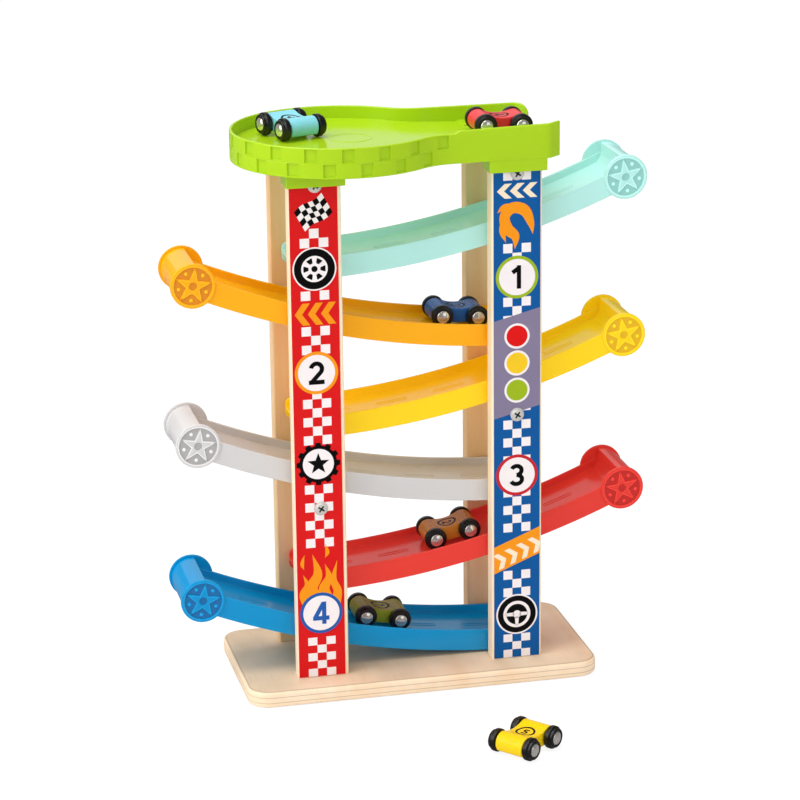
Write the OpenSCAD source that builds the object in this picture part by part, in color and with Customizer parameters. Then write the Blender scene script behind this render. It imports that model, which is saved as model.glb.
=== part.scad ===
// Click clack track toy: a wooden stand that carries six moulded tracks and a tray,
// with six little cars that roll down from track to track.
// Millimetres. The origin is the middle of the board's underside, X to the right, Y to the back, Z up.

/* [Base board] */
// Length of the board, left to right
base_l = 259; // [240:1:300]
// Depth of the board, front to back
base_d = 129; // [112:1:160]
// Thickness of the board
base_t = 12; // [9:0.5:18]
// Radius of the board's corners
base_corner_r = 16; // [4:1:30]

/* [Posts] */
// Width of a post, seen from the front
post_w = 36.8; // [35:0.2:42]
// Thickness of a post, front to back
post_t = 13; // [11:0.5:18]
// Height of a post above the board
post_h = 377.5; // [374:0.5:420]
// Distance from the middle of the toy to the middle of a post
post_x = 72; // [68:0.5:78]
// Clear gap between a front post and the rear post behind it
post_gap = 60; // [59:0.5:66]
// Rounding of a post's long edges
post_edge_r = 1.2; // [0.4:0.1:3]

/* [Stickers] */
// Width of the printed stickers
decal_w = 34; // [28:0.5:34.5]
// Thickness of a sticker
decal_t = 0.25; // [0.15:0.05:0.5]
// How far the left sticker lies off the middle of its post
left_decal_shift = 1.2; // [0:0.1:1.2]
// Bare wood under a sticker
decal_foot = 0.5; // [0.2:0.1:4]
// Bare wood above a sticker, inside the tray's collar
decal_tuck = 7; // [4:0.5:11]

/* [Tracks] */
// Radius of a track's middle line
track_r = 600; // [560:5:660]
// Outer width of a track
track_w = 54.4; // [50:0.2:56]
// Height of a track's side walls
track_wall_h = 16; // [15:0.5:19]
// Thickness of a track's side walls
track_wall_t = 2; // [1.5:0.1:2.6]
// Depth of the running floor below the top of the walls
floor_depth = 6; // [4.5:0.5:8]
// Thickness of the running floor
floor_t = 2; // [1.4:0.1:3]
// Slope of a track at its curled end, in degrees
curl_angle = 24; // [22:0.5:26]
// Slope of a track at its low end, in degrees
low_angle = 0.5; // [0.2:0.1:1.2]
// Rounding of the walls' corners at the low end
low_corner_r = 5; // [2:0.5:5.5]
// Distance from the middle of the toy to the middle of a curl
curl_x = 156; // [150:0.5:160]
// Height of the lowest curl above the board
first_curl_h = 60.4; // [60.2:0.2:66]
// Distance from a post's top down to the middle of the highest curl
last_curl_drop = 26.5; // [24:0.5:30]

/* [Curls] */
// Radius of the round end discs
disc_r = 16; // [14.5:0.5:18]
// How far a disc stands out from the side wall
disc_proud = 1.3; // [0.6:0.1:1.6]
// Outer radius of the rolled shell between the discs
shell_r = 14.4; // [12.5:0.1:14.4]
// Thickness of the rolled shell
shell_t = 2; // [1.4:0.1:3]
// Angle by which the shell passes its top, towards the track
shell_past_top = 10; // [0:1:25]
// Angle that the rolled shell covers
shell_sweep = 180; // [150:5:190]
// Outer radius of the star and its pockets
star_r = 13.4; // [11:0.1:14]
// Inner radius of the star
star_root_r = 5.6; // [4.5:0.1:7]
// Depth of the pockets round the star
pocket_depth = 0.8; // [0.4:0.1:1.4]
// Radius of the dots in the pockets
dot_r = 1.3; // [0.8:0.1:1.6]
// Distance of the dots from the middle of the disc
dot_orbit_r = 10.2; // [9.5:0.1:11]
// Radius of the dimple in the middle of the star
hub_dimple_r = 2.5; // [1.5:0.1:3]

/* [Track pegs] */
// Radius of the pegs that sit in the posts
peg_r = 4; // [3:0.1:5]
// Length of a peg inside its post
peg_l = 6; // [4:0.5:8]
// Radius of the shoulder round each peg
peg_shoulder_r = 6.8; // [5.8:0.1:7.2]
// Clearance round the pegs and in front of the shoulders
peg_clear = 0.12; // [0.08:0.02:0.3]

/* [Tray] */
// Outer radius of the round dish
dish_r = 75; // [70:0.5:80]
// Distance of the dish's middle to the left of the toy's middle
dish_x = 47; // [44:0.5:52]
// Height of the tray's outer wall
tray_h = 21.3; // [20:0.1:26]
// Thickness of the tray's walls
tray_wall = 2.2; // [1.6:0.1:3]
// Depth of the dish's floor below the rim
dish_depth = 9; // [8:0.5:10]
// Thickness of the tray's floor
tray_floor_t = 2.2; // [1.6:0.1:2.6]
// Slope of the channel's floor, in degrees
channel_slope = 2.2; // [1.5:0.1:2.6]
// Outer width of the channel
channel_w = 84; // [78:0.5:90]
// Distance from the toy's middle to the channel's open end
channel_end_x = 95; // [94:0.5:104]
// Distance from the toy's middle to where the neck meets the channel
neck_x = 27; // [22:0.5:34]
// Length of the lips at the channel's open end
lip_l = 11; // [6:0.5:14]
// Angle by which the lips turn inwards
lip_angle = 40; // [20:1:45]
// Height of the collars below the tray's wall
collar_h = 8.5; // [8:0.5:12]
// Wall thickness of the collars
collar_wall = 2.2; // [1.6:0.1:3]
// Clearance between a collar and the faces of its post
collar_clear = 0.2; // [0.1:0.05:0.4]
// Room in front of a post, inside the collar, for a screw head
screw_room = 2.6; // [2.4:0.1:3.4]
// Height of a post's top above the tray's lower edge
socket_depth = 5; // [4:0.25:5.5]
// Spacing of the notches between the bricks
brick_pitch = 26; // [20:0.5:32]
// Width of a notch between two bricks
notch_w = 8; // [4:0.5:11]
// Depth of the notches
notch_depth = 0.8; // [0.4:0.1:1.2]
// Part of the dish's round that carries bricks, in degrees
brick_span = 270; // [200:5:275]
// Margin left at the rim, at the lower edge and between the brick rows
brick_margin = 0.9; // [0.5:0.1:2]
// Radius of the plain ring in the dish's floor
floor_ring_r = 15; // [8:0.5:18]
// Width of that ring's groove
floor_ring_w = 1.4; // [0.8:0.1:2]
// Depth of that ring's groove
floor_ring_depth = 0.5; // [0.3:0.1:0.8]
// Distance of that ring to the right of the dish's middle
floor_ring_shift = 10; // [0:1:16]

/* [Dowels and screws] */
// Radius of the cross dowels between the posts
dowel_r = 5; // [4:0.25:6]
// Distance from a track's middle line down to the dowel under it
mid_dowel_drop = 18.3; // [16:0.1:24]
// Distance from a post's top down to the upper dowel
top_dowel_drop = 15.2; // [13:0.1:20]
// Radius of the screws' shanks
screw_r = 2; // [1.5:0.1:2.5]
// Length of a screw's shank inside a dowel
screw_grip = 18; // [10:1:25]
// Radius of the post screws' heads
screw_head_r = 4; // [3.2:0.1:4.6]
// Height of the post screws' heads
screw_head_h = 1.5; // [1:0.1:1.6]
// Radius of the washers
washer_r = 5; // [4.7:0.1:6]
// Thickness of the washers
washer_t = 0.8; // [0.5:0.1:0.9]
// Width of the cross cut in a screw head
cross_w = 0.9; // [0.6:0.1:1.3]
// Depth of the cross cut in a screw head
cross_depth = 0.9; // [0.5:0.1:1]
// Clearance round the screws' shanks
screw_clear = 0.1; // [0.05:0.05:0.3]
// Radius of the countersunk heads under the board
foot_head_r = 4; // [3.2:0.1:5]
// Height of those heads' cones
foot_head_h = 2.4; // [1.6:0.1:3.5]
// Depth of those heads below the board's underside
foot_sink = 0.4; // [0.2:0.1:1]
// Length of a foot screw inside its post
foot_grip = 24; // [15:1:35]
// Spacing of the two foot screws in each post
foot_spacing = 20; // [12:1:24]

/* [Cars] */
// Distance between a car's axles
wheelbase = 26; // [24:0.5:30]
// Radius of the wheels
wheel_r = 8.1; // [7.8:0.1:9]
// Width of a wheel
wheel_w = 6; // [5:0.25:7]
// Width of the tread
tread_w = 3.6; // [3:0.1:4.2]
// Radius of the ring on a wheel's outer side
side_ring_r = 6.6; // [5.8:0.1:7]
// Bevel of a wheel's edges
wheel_bevel = 0.5; // [0.3:0.1:0.7]
// Width of a car's wooden body
car_w = 22; // [18:0.5:24]
// Radius of the body's round ends
car_end_r = 7.3; // [6.6:0.1:7.6]
// Height of the saddle's lowest point above the axles
saddle_h = 4.8; // [3:0.1:5.4]
// Distance from the axles down to the body's flat underside
belly_drop = 5.2; // [4:0.1:6]
// Gap between a wheel and the body
wheel_gap = 0.7; // [0.4:0.1:1.2]
// Radius of an axle
axle_r = 1.5; // [1.2:0.1:2]
// Running clearance of an axle in the wooden body
axle_clear = 0.06; // [0.03:0.01:0.1]
// Clearance between an axle and its pressed-on wheels
hub_clear = 0.02; // [0.01:0.01:0.05]
// Radius of the shiny hub discs
hub_r = 4.6; // [3.8:0.1:5]
// Thickness of the hub discs
hub_t = 1.3; // [0.8:0.1:1.6]
// How far the hub discs stand out of the wheels
hub_proud = 0.4; // [0.2:0.1:0.6]
// Gap left under the wheels on the tracks and in the tray
wheel_lift = 0.15; // [0.1:0.05:0.3]

/* [Places of the cars] */
// Slope under the navy car on the orange track, in degrees
navy_car_angle = 4.9; // [3:0.1:19]
// Slope under the copper car on the red track, in degrees
copper_car_angle = 11.7; // [3:0.1:19]
// Slope under the olive car on the blue track, in degrees
olive_car_angle = 10.7; // [3:0.1:19]
// Distance of the red car from the middle of the toy, in the channel
red_car_x = 70; // [40:1:80]
// Distance of the sky blue car to the left of the dish's middle
sky_car_shift = 28.7; // [12:0.1:32]
// Distance of the sky blue car behind the dish's middle
sky_car_y = 18.4; // [-10:0.1:20]
// Heading of the sky blue car, in degrees from the right
sky_car_heading = 110; // [90:1:130]
// Distance of the yellow car to the right of the toy's middle, on the ground
yellow_car_x = 41; // [0:1:120]
// Distance of the yellow car in front of the toy's middle
yellow_car_y = 178.5; // [140:0.5:240]
// Heading of the yellow car, in degrees from the right
yellow_car_heading = 39; // [0:1:90]

/* [Hidden] */
$fn = 96;
// Fine steps for the wide arcs of the tracks
arc_fn = 720;
// Overrun of every cut
over = 1;

// Heights and depths that several pieces share
post_front = post_gap / 2 + post_t;
post_top = base_t + post_h;
tray_low = post_top - socket_depth;
tray_top = tray_low + tray_h;
dish_floor_z = tray_top - dish_depth;
channel_hw = channel_w / 2;
// Front face of the collars, with room for the screw heads behind it
collar_front = post_front + decal_t + screw_room + collar_wall;
// Radius of the hollow curve where the dish runs into the channel
neck_r = (pow(neck_x + dish_x, 2) + pow(channel_hw, 2) - pow(dish_r, 2)) / (2 * (dish_r - channel_hw));

// Track sizes, measured from the middle of its arc
track_hw = track_w / 2;
track_in = track_hw - track_wall_t;
wall_top_r = track_r - track_wall_h / 2;
wall_low_r = track_r + track_wall_h / 2;
floor_r = wall_top_r + floor_depth;
disc_face = track_hw + disc_proud;
// The discs start inside the thickness of the walls
disc_t = disc_proud + track_wall_t * 3 / 4;
arc_x = track_r * sin(curl_angle) - curl_x;
arc_rise = track_r * cos(curl_angle);
// Angle by which the floor runs on into the curl
floor_run_on = asin((shell_r - shell_t / 2) / track_r);
// Distance of a car's middle from the middle of the track's arc
ride_r = sqrt(pow(floor_r - wheel_r - wheel_lift, 2) - pow(wheelbase / 2, 2));

// Cars: the hollow of the saddle touches both round ends
saddle_r = (pow(wheelbase / 2, 2) + pow(saddle_h, 2) - pow(car_end_r, 2)) / (2 * (car_end_r - saddle_h));
wheel_in = car_w / 2 + wheel_gap;
sky_place = [-dish_x - sky_car_shift, sky_car_y, dish_floor_z + wheel_r + wheel_lift];
axle_half = wheel_in + wheel_w + hub_proud;

// Tracks from the lowest up; the even ones curl at the left, the odd ones at the right
TRACKS = ["blue", "red", "gray", "yellow", "orange", "mint"];
TRACK_COLOURS = ["#1491c8", "#e94137", "#cdcdcb", "#f8d723", "#f7b219", "#aae1d7"];
BLUE = 0;
RED = 1;
GRAY = 2;
YELLOW = 3;
ORANGE = 4;
CARS = ["navy", "copper", "olive", "red", "sky", "yellow"];
CAR_COLOURS = ["#2d5aa0", "#cd7d2d", "#828c32", "#e1464b", "#96d7e1", "#f5cd23"];
CAR_PIECES = ["body", "front_axle", "rear_axle", "front_wheels", "rear_wheels"];
// Points of the star on every disc
STAR_POINTS = 5;
SIDES = [["left", -1], ["right", 1]];
DEPTHS = [["front", -1], ["rear", 1]];

function track_node(i) = str(TRACKS[i], "_track");
function car_node(i, piece) = str(CARS[i], "_car_", piece);
function post_node(depth, side) = str(depth[0], "_", side[0], "_post");

// Which side a track's curl is on: -1 left, 1 right
function curl_side(i) = i % 2 == 0 ? -1 : 1;
// Height from one curl to the next above it
track_pitch = (post_h - last_curl_drop - first_curl_h) / (len(TRACKS) - 1);
function curl_z(i) = base_t + first_curl_h + i * track_pitch;
// Slope of a track where it passes a post; toward is 1 at the post on the curl's side
function post_angle(toward) = asin((arc_x + toward * post_x) / track_r);
function peg_z(i, side) = curl_z(i) + arc_rise - track_r * cos(post_angle(curl_side(i) * side));
// Heights of the dowels on each side
top_dowel_z = post_top - top_dowel_drop;
function middle_dowel_z(side) = peg_z(side < 0 ? GRAY : YELLOW, side) - mid_dowel_drop;
function dowel_heights(side) = [middle_dowel_z(side), top_dowel_z];
// How thick the sticker is on the face of a post; only the front ones carry one
function face_skin(depth) = depth < 0 ? decal_t : 0;

// Helpers

module rounded_plate(w, d, h, r) {
    linear_extrude(height = h) {
        square([w - 2 * r, d], center = true);
        square([w, d - 2 * r], center = true);
        for (x = [-1, 1], y = [-1, 1])
            translate([x * (w / 2 - r), y * (d / 2 - r)]) circle(r = r);
    }
}

// A cylinder along Y that starts at the plane y = start and runs by length
module y_rod(start, length, r) {
    translate([0, start, 0]) rotate([-90, 0, 0]) cylinder(h = length, r = r);
}

// Carries its children to every screw place on the posts' faces, turned to look outwards
module at_post_screws(depths = [-1, 1]) {
    for (d = depths, s = [-1, 1], z = dowel_heights(s))
        translate([s * post_x, d * (post_front + face_skin(d)), z]) rotate([-90 * d, 0, 0]) children();
}

module at_foot_screws() {
    for (d = [-1, 1], s = [-1, 1], n = [-1, 1])
        translate([s * post_x + n * foot_spacing / 2, d * (post_gap + post_t) / 2, 0]) children();
}

// Stand

module base_board() {
    color("#f0d7af") difference() {
        rounded_plate(base_l, base_d, base_t, base_corner_r);
        at_foot_screws() {
            translate([0, 0, -over]) cylinder(h = base_t + 2 * over, r = screw_r + screw_clear);
            translate([0, 0, -over]) cylinder(h = over + foot_sink, r = foot_head_r + screw_clear);
            translate([0, 0, foot_sink])
                cylinder(h = foot_head_h, r1 = foot_head_r + screw_clear, r2 = screw_r + screw_clear);
        }
    }
}

module post(depth, side) {
    color("#f3dcb8") difference() {
        translate([side * post_x, depth * (post_gap + post_t) / 2, base_t])
            rounded_plate(post_w, post_t, post_h, post_edge_r);
        for (i = [0 : len(TRACKS) - 1])
            translate([side * post_x, 0, peg_z(i, side)]) scale([1, depth, 1])
                y_rod(post_gap / 2 - over, peg_l + peg_clear + over, peg_r + peg_clear);
        for (z = dowel_heights(side))
            translate([side * post_x, 0, z]) scale([1, depth, 1])
                y_rod(post_gap / 2 - over, post_t + 2 * over, screw_r + screw_clear);
        translate([0, 0, base_t - over]) at_foot_screws()
            cylinder(h = foot_grip + 2 * over, r = screw_r + screw_clear);
    }
}

module decal(side, shift, paint) {
    color(paint) difference() {
        translate([side * post_x + shift - decal_w / 2, -post_front - decal_t, base_t + decal_foot])
            cube([decal_w, decal_t, post_h - decal_foot - decal_tuck]);
        for (z = dowel_heights(side))
            translate([side * post_x, 0, z])
                y_rod(-post_front - decal_t - over, decal_t + 2 * over, screw_r + screw_clear);
    }
}

module dowel(side, z) {
    bore_l = screw_grip + screw_clear;
    color("#ecd2a6") translate([side * post_x, 0, z]) difference() {
        y_rod(-post_gap / 2, post_gap, dowel_r);
        for (d = [-1, 1]) scale([1, d, 1])
            y_rod(post_gap / 2 - bore_l, bore_l + over, screw_r + screw_clear);
    }
}

module post_screws() {
    color("#b9b2a4") for (d = [-1, 1]) at_post_screws([d]) difference() {
        union() {
            translate([0, 0, washer_t]) cylinder(h = screw_head_h, r = screw_head_r);
            translate([0, 0, -face_skin(d) - post_t - screw_grip]) cylinder(
                h = screw_grip + post_t + face_skin(d) + washer_t + screw_head_h / 2,
                r = screw_r
            );
        }
        translate([0, 0, washer_t + screw_head_h]) for (turn = [0, 90]) rotate(turn)
            cube([2 * screw_head_r - 2 * cross_w, cross_w, 2 * cross_depth], center = true);
    }
}

module screw_washers() {
    color("#c9c4ba") at_post_screws() difference() {
        cylinder(h = washer_t, r = washer_r);
        translate([0, 0, -over]) cylinder(h = washer_t + 2 * over, r = screw_r + screw_clear);
    }
}

module base_screws() {
    color("#b9b2a4") at_foot_screws() {
        translate([0, 0, foot_sink]) cylinder(h = foot_head_h, r1 = foot_head_r, r2 = screw_r);
        translate([0, 0, foot_sink]) cylinder(h = base_t + foot_grip - foot_sink, r = screw_r);
    }
}

// Tracks

// Turns a profile of radius and width about the middle of the arc, between two slopes
module along_arc(from, to) {
    rotate([90, 0, 0]) rotate(270 - to) rotate_extrude(angle = to - from, $fn = arc_fn) children();
}

module channel_profile() {
    polygon([
        [wall_top_r, -track_hw], [wall_low_r, -track_hw], [wall_low_r, -track_in],
        [floor_r + floor_t, -track_in], [floor_r + floor_t, track_in], [wall_low_r, track_in],
        [wall_low_r, track_hw], [wall_top_r, track_hw], [wall_top_r, track_in],
        [floor_r, track_in], [floor_r, -track_in], [wall_top_r, -track_in]
    ]);
}

// Takes the sharp corners off both walls at the low end
module low_end_corners() {
    for (end = [-1, 1]) rotate([0, low_angle, 0])
        translate([-low_corner_r, 0, -track_r + end * (track_wall_h / 2 - low_corner_r)]) difference() {
            translate([0, -track_hw - over, end < 0 ? -low_corner_r - over : 0])
                cube([low_corner_r + over, track_w + 2 * over, low_corner_r + over]);
            y_rod(-track_hw - 2 * over, track_w + 4 * over, low_corner_r);
        }
}

// The star's tips run on into the disc's rim
module star_outline() {
    polygon([
        for (k = [0 : 2 * STAR_POINTS - 1])
            let (r = k % 2 == 0 ? star_r + over : star_root_r, a = 90 + k * 180 / STAR_POINTS)
                [r * cos(a), r * sin(a)]
    ]);
}

// Everything that is sunk into the outer face of a disc
module star_sinks() {
    difference() {
        circle(r = star_r);
        star_outline();
        for (k = [0 : STAR_POINTS - 1])
            rotate(270 + k * 360 / STAR_POINTS) translate([dot_orbit_r, 0]) circle(r = dot_r);
    }
    circle(r = hub_dimple_r);
}

module curl_shell() {
    rotate([90, 0, 0]) rotate(90 - shell_past_top)
        rotate_extrude(angle = shell_sweep) translate([shell_r - shell_t, -track_in - track_wall_t / 2])
            square([shell_t, 2 * track_in + track_wall_t]);
}

module track_pegs() {
    root = track_in + track_wall_t / 2;
    shoulder_end = post_gap / 2 - peg_clear;
    for (toward = [-1, 1], s = [-1, 1])
        rotate([0, post_angle(toward), 0]) translate([0, 0, -track_r]) scale([1, s, 1]) {
            y_rod(root, shoulder_end - root, peg_shoulder_r);
            y_rod(root, post_gap / 2 + peg_l - root, peg_r);
        }
}

// A track whose curl is at the left, with the middle of its arc at the origin
module track_shape() {
    floor_w = 2 * track_in + track_wall_t;
    difference() {
        union() {
            along_arc(low_angle, curl_angle) channel_profile();
            along_arc(curl_angle - floor_run_on, curl_angle + floor_run_on)
                translate([floor_r, -floor_w / 2]) square([floor_t, floor_w]);
            translate([-track_r * sin(curl_angle), 0, -arc_rise]) {
                for (s = [-1, 1]) scale([1, s, 1])
                    y_rod(disc_face - disc_t, disc_t, disc_r);
                curl_shell();
            }
            track_pegs();
        }
        low_end_corners();
        translate([-track_r * sin(curl_angle), 0, -arc_rise])
            for (s = [-1, 1]) translate([0, s * disc_face, 0]) rotate([90, 0, 0])
                linear_extrude(height = 2 * pocket_depth, center = true) star_sinks();
    }
}

module track(i) {
    color(TRACK_COLOURS[i]) translate([0, 0, curl_z(i) + arc_rise]) scale([-curl_side(i), 1, 1])
        translate([arc_x, 0, 0]) track_shape();
}

// Tray

// Outline of the tray seen from above, drawn in by inset; extra lengthens the open end
module tray_outline(inset, extra) {
    translate([-dish_x, 0]) circle(r = dish_r - inset, $fn = 2 * $fn);
    translate([-dish_x, -channel_hw + inset])
        square([dish_x + channel_end_x + extra, 2 * (channel_hw - inset)]);
    for (s = [-1, 1]) scale([1, s]) difference() {
        polygon([[-dish_x, 0], [neck_x, channel_hw + neck_r], [neck_x, 0]]);
        translate([neck_x, channel_hw + neck_r]) circle(r = neck_r + inset, $fn = 4 * $fn);
    }
}

// A slab along the channel's sloping plane, between two heights measured from that plane
module sloping_slab(low, high) {
    reach = channel_end_x + lip_l + dish_r;
    translate([0, 0, dish_floor_z]) rotate([0, channel_slope, 0]) translate([0, -dish_r, low])
        cube([reach, 2 * dish_r, high - low]);
}

module tray_shell() {
    translate([0, 0, tray_low]) linear_extrude(height = tray_h) difference() {
        tray_outline(0, 0);
        tray_outline(tray_wall, over);
    }
    translate([0, 0, dish_floor_z - tray_floor_t]) linear_extrude(height = tray_floor_t) intersection() {
        tray_outline(tray_wall / 2, 0);
        translate([-dish_x - dish_r, -dish_r]) square([dish_x + dish_r, 2 * dish_r]);
    }
    intersection() {
        translate([0, 0, tray_low]) linear_extrude(height = tray_h) tray_outline(tray_wall / 2, 0);
        sloping_slab(-tray_floor_t, 0);
    }
}

// The space above the floors, which the cars run in
module tray_bowl() {
    translate([0, 0, dish_floor_z]) linear_extrude(height = dish_depth + over)
        tray_outline(tray_wall, over);
    intersection() {
        translate([0, 0, tray_low]) linear_extrude(height = tray_h) tray_outline(tray_wall, over);
        sloping_slab(0, tray_h);
    }
}

// Each lip turns inwards from the middle of its wall's thickness, just before the wall's end
module lips() {
    translate([0, 0, tray_low]) linear_extrude(height = tray_h) for (s = [-1, 1]) scale([1, s])
        translate([channel_end_x - tray_wall, channel_hw - tray_wall / 2]) rotate(-lip_angle)
            translate([0, -tray_wall / 2]) square([lip_l + tray_wall, tray_wall]);
}

module at_posts() {
    for (d = [-1, 1], s = [-1, 1]) translate([s * post_x, 0, 0]) scale([1, d, 1]) children();
}

module collar_block() {
    half_w = post_w / 2 + collar_clear + collar_wall;
    inner = post_gap / 2 - collar_clear - collar_wall;
    translate([-half_w, inner, tray_low - collar_h])
        cube([2 * half_w, collar_front - inner, collar_h + dish_floor_z - tray_low - tray_floor_t / 2]);
}

module collar_pocket() {
    half_w = post_w / 2 + collar_clear;
    inner = post_gap / 2 - collar_clear;
    translate([-half_w, inner, tray_low - collar_h - over])
        cube([2 * half_w, collar_front - collar_wall - inner, collar_h + socket_depth + over]);
}

// Lets a collar's inner wall pass over the upper dowel
module dowel_slot() {
    slot_r = dowel_r + collar_clear;
    translate([0, 0, top_dowel_z]) y_rod(0, post_gap / 2, slot_r);
    translate([-slot_r, 0, top_dowel_z - collar_h]) cube([2 * slot_r, post_gap / 2, collar_h]);
}

module brick_notches() {
    turn = brick_pitch / dish_r * 180 / PI;
    count = floor(brick_span / turn);
    row_h = (tray_h - 3 * brick_margin) / 2;
    for (row = [0, 1], k = [0 : count - 1])
        translate([-dish_x, 0, tray_low + brick_margin + row * (row_h + brick_margin)])
            rotate(180 + (k - (count - 1) / 2 + row / 2 - 1 / 4) * turn)
                translate([dish_r - notch_depth, -notch_w / 2, 0])
                    cube([notch_depth + over, notch_w, row_h]);
}

module floor_ring() {
    translate([floor_ring_shift - dish_x, 0, dish_floor_z - floor_ring_depth]) difference() {
        cylinder(h = floor_ring_depth + over, r = floor_ring_r);
        translate([0, 0, -over])
            cylinder(h = floor_ring_depth + 3 * over, r = floor_ring_r - floor_ring_w);
    }
}

module top_tray() {
    color("#aad22d") {
        difference() {
            union() {
                tray_shell();
                at_posts() collar_block();
            }
            tray_bowl();
            at_posts() {
                collar_pocket();
                dowel_slot();
            }
            brick_notches();
            floor_ring();
        }
        lips();
    }
}

// Cars, each drawn with its axles at height zero and its nose towards X

module car_body() {
    rotate([90, 0, 0]) linear_extrude(height = car_w, center = true) difference() {
        union() {
            for (e = [-1, 1]) translate([e * wheelbase / 2, 0]) circle(r = car_end_r);
            polygon([
                [-wheelbase / 2, -car_end_r], [wheelbase / 2, -car_end_r], [wheelbase / 2, 0],
                [0, saddle_h + saddle_r], [-wheelbase / 2, 0]
            ]);
        }
        translate([0, saddle_h + saddle_r]) circle(r = saddle_r);
        translate([-wheelbase, -belly_drop - car_end_r]) square([2 * wheelbase, car_end_r]);
        for (e = [-1, 1]) translate([e * wheelbase / 2, 0]) circle(r = axle_r + axle_clear);
    }
}

module axle() {
    head = wheel_in + wheel_w - hub_t;
    rotate([90, 0, 0]) rotate_extrude() polygon([
        [0, -axle_half], [hub_r - hub_proud, -axle_half], [hub_r, -axle_half + hub_proud],
        [hub_r, -head], [axle_r, -head], [axle_r, head], [hub_r, head],
        [hub_r, axle_half - hub_proud], [hub_r - hub_proud, axle_half], [0, axle_half]
    ]);
}

module wheel() {
    bore = axle_r + hub_clear;
    seat = hub_r + hub_clear;
    rotate_extrude() polygon([
        [bore, 0], [wheel_r - wheel_bevel, 0], [wheel_r, wheel_bevel], [wheel_r, tread_w - wheel_bevel],
        [wheel_r - wheel_bevel, tread_w], [side_ring_r, tread_w], [side_ring_r, wheel_w - wheel_bevel],
        [side_ring_r - wheel_bevel, wheel_w], [seat, wheel_w], [seat, wheel_w - hub_t - hub_clear],
        [bore, wheel_w - hub_t - hub_clear]
    ]);
}

module wheel_pair() {
    for (s = [-1, 1]) scale([1, s, 1]) translate([0, wheel_in, 0]) rotate([-90, 0, 0]) wheel();
}

module on_track(i, slope) {
    side = -curl_side(i);
    translate([side * arc_x, 0, curl_z(i) + arc_rise]) rotate([0, side * slope, 0])
        translate([0, 0, -ride_r]) children();
}

module in_channel(x) {
    translate([0, 0, dish_floor_z]) rotate([0, channel_slope, 0])
        translate([x / cos(channel_slope), 0, wheel_r + wheel_lift]) children();
}

module at_heading(place, heading) {
    translate(place) rotate(heading) children();
}

// Puts its children where the car of that number stands
module at_car(i) {
    if (CARS[i] == "navy") on_track(ORANGE, navy_car_angle) children();
    if (CARS[i] == "copper") on_track(RED, copper_car_angle) children();
    if (CARS[i] == "olive") on_track(BLUE, olive_car_angle) children();
    if (CARS[i] == "red") in_channel(red_car_x) children();
    if (CARS[i] == "sky")
        at_heading(sky_place, sky_car_heading) children();
    if (CARS[i] == "yellow")
        at_heading([yellow_car_x, -yellow_car_y, wheel_r], yellow_car_heading) children();
}

module car_piece(i, piece) {
    front = wheelbase / 2;
    if (piece == "body") color(CAR_COLOURS[i]) at_car(i) car_body();
    if (piece == "front_axle") color("silver") at_car(i) translate([front, 0, 0]) axle();
    if (piece == "rear_axle") color("silver") at_car(i) translate([-front, 0, 0]) axle();
    if (piece == "front_wheels") color("#1a1a1c") at_car(i) translate([front, 0, 0]) wheel_pair();
    if (piece == "rear_wheels") color("#1a1a1c") at_car(i) translate([-front, 0, 0]) wheel_pair();
}

base_board();
for (d = DEPTHS, s = SIDES)
    post(d[1], s[1]);
decal(-1, -left_decal_shift, "#de231e");  // front_left_decal
decal(1, 0, "#0c5fb4");  // front_right_decal
top_tray();
for (i = [0 : len(TRACKS) - 1])
    track(i);
dowel(-1, top_dowel_z);  // left_top_dowel
dowel(1, top_dowel_z);  // right_top_dowel
dowel(-1, middle_dowel_z(-1));  // left_middle_dowel
dowel(1, middle_dowel_z(1));  // right_middle_dowel
post_screws();
screw_washers();
base_screws();
for (i = [0 : len(CARS) - 1], p = CAR_PIECES)
    car_piece(i, p);
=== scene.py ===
# %% [markdown]
# # A click clack track toy
# A wooden stand carries six moulded tracks and a lime tray, and six little cars roll down from
# track to track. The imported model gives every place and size. This lesson dresses it: each solid
# gets a finished mesh with rounded edges and a finish of its own, and rides on the body it belongs to.

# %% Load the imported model
from math import asin, atan2, cos, pi, radians, sin, sqrt, tan
import bmesh
import bpy
from mathutils import Matrix, Vector


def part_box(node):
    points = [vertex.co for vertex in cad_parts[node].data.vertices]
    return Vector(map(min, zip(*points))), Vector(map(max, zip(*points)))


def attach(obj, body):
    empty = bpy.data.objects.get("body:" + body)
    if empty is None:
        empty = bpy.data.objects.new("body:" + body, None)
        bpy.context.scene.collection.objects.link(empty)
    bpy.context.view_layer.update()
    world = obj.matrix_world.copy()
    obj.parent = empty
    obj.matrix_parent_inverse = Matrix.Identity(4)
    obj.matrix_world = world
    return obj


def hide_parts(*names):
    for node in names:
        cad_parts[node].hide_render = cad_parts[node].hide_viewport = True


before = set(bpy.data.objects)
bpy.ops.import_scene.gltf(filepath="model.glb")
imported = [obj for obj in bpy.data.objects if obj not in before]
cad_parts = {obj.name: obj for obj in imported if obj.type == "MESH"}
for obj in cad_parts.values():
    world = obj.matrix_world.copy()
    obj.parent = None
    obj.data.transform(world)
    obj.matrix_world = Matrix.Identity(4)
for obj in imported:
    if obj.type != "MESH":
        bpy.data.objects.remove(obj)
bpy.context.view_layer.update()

MM = 0.001
scene = bpy.context.scene

# %% [markdown]
# ## The camera
# The toy is seen from a little to the left and from above, through a long lens. The camera's place
# and turn are written as sizes and angles, so that the picture can be set again by hand.

# %% Camera
IMAGE_PIXELS = 800
SENSOR_MM = 36
FOCAL_PIXELS = 2946
CAMERA_YAW = radians(12.96)
CAMERA_PITCH = radians(16.99)
CAMERA_ROLL = radians(-0.66)
CAMERA_DISTANCE = 2126 * MM
LOOK_AT = Vector((-3.6, 0, 202.3)) * MM


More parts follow.
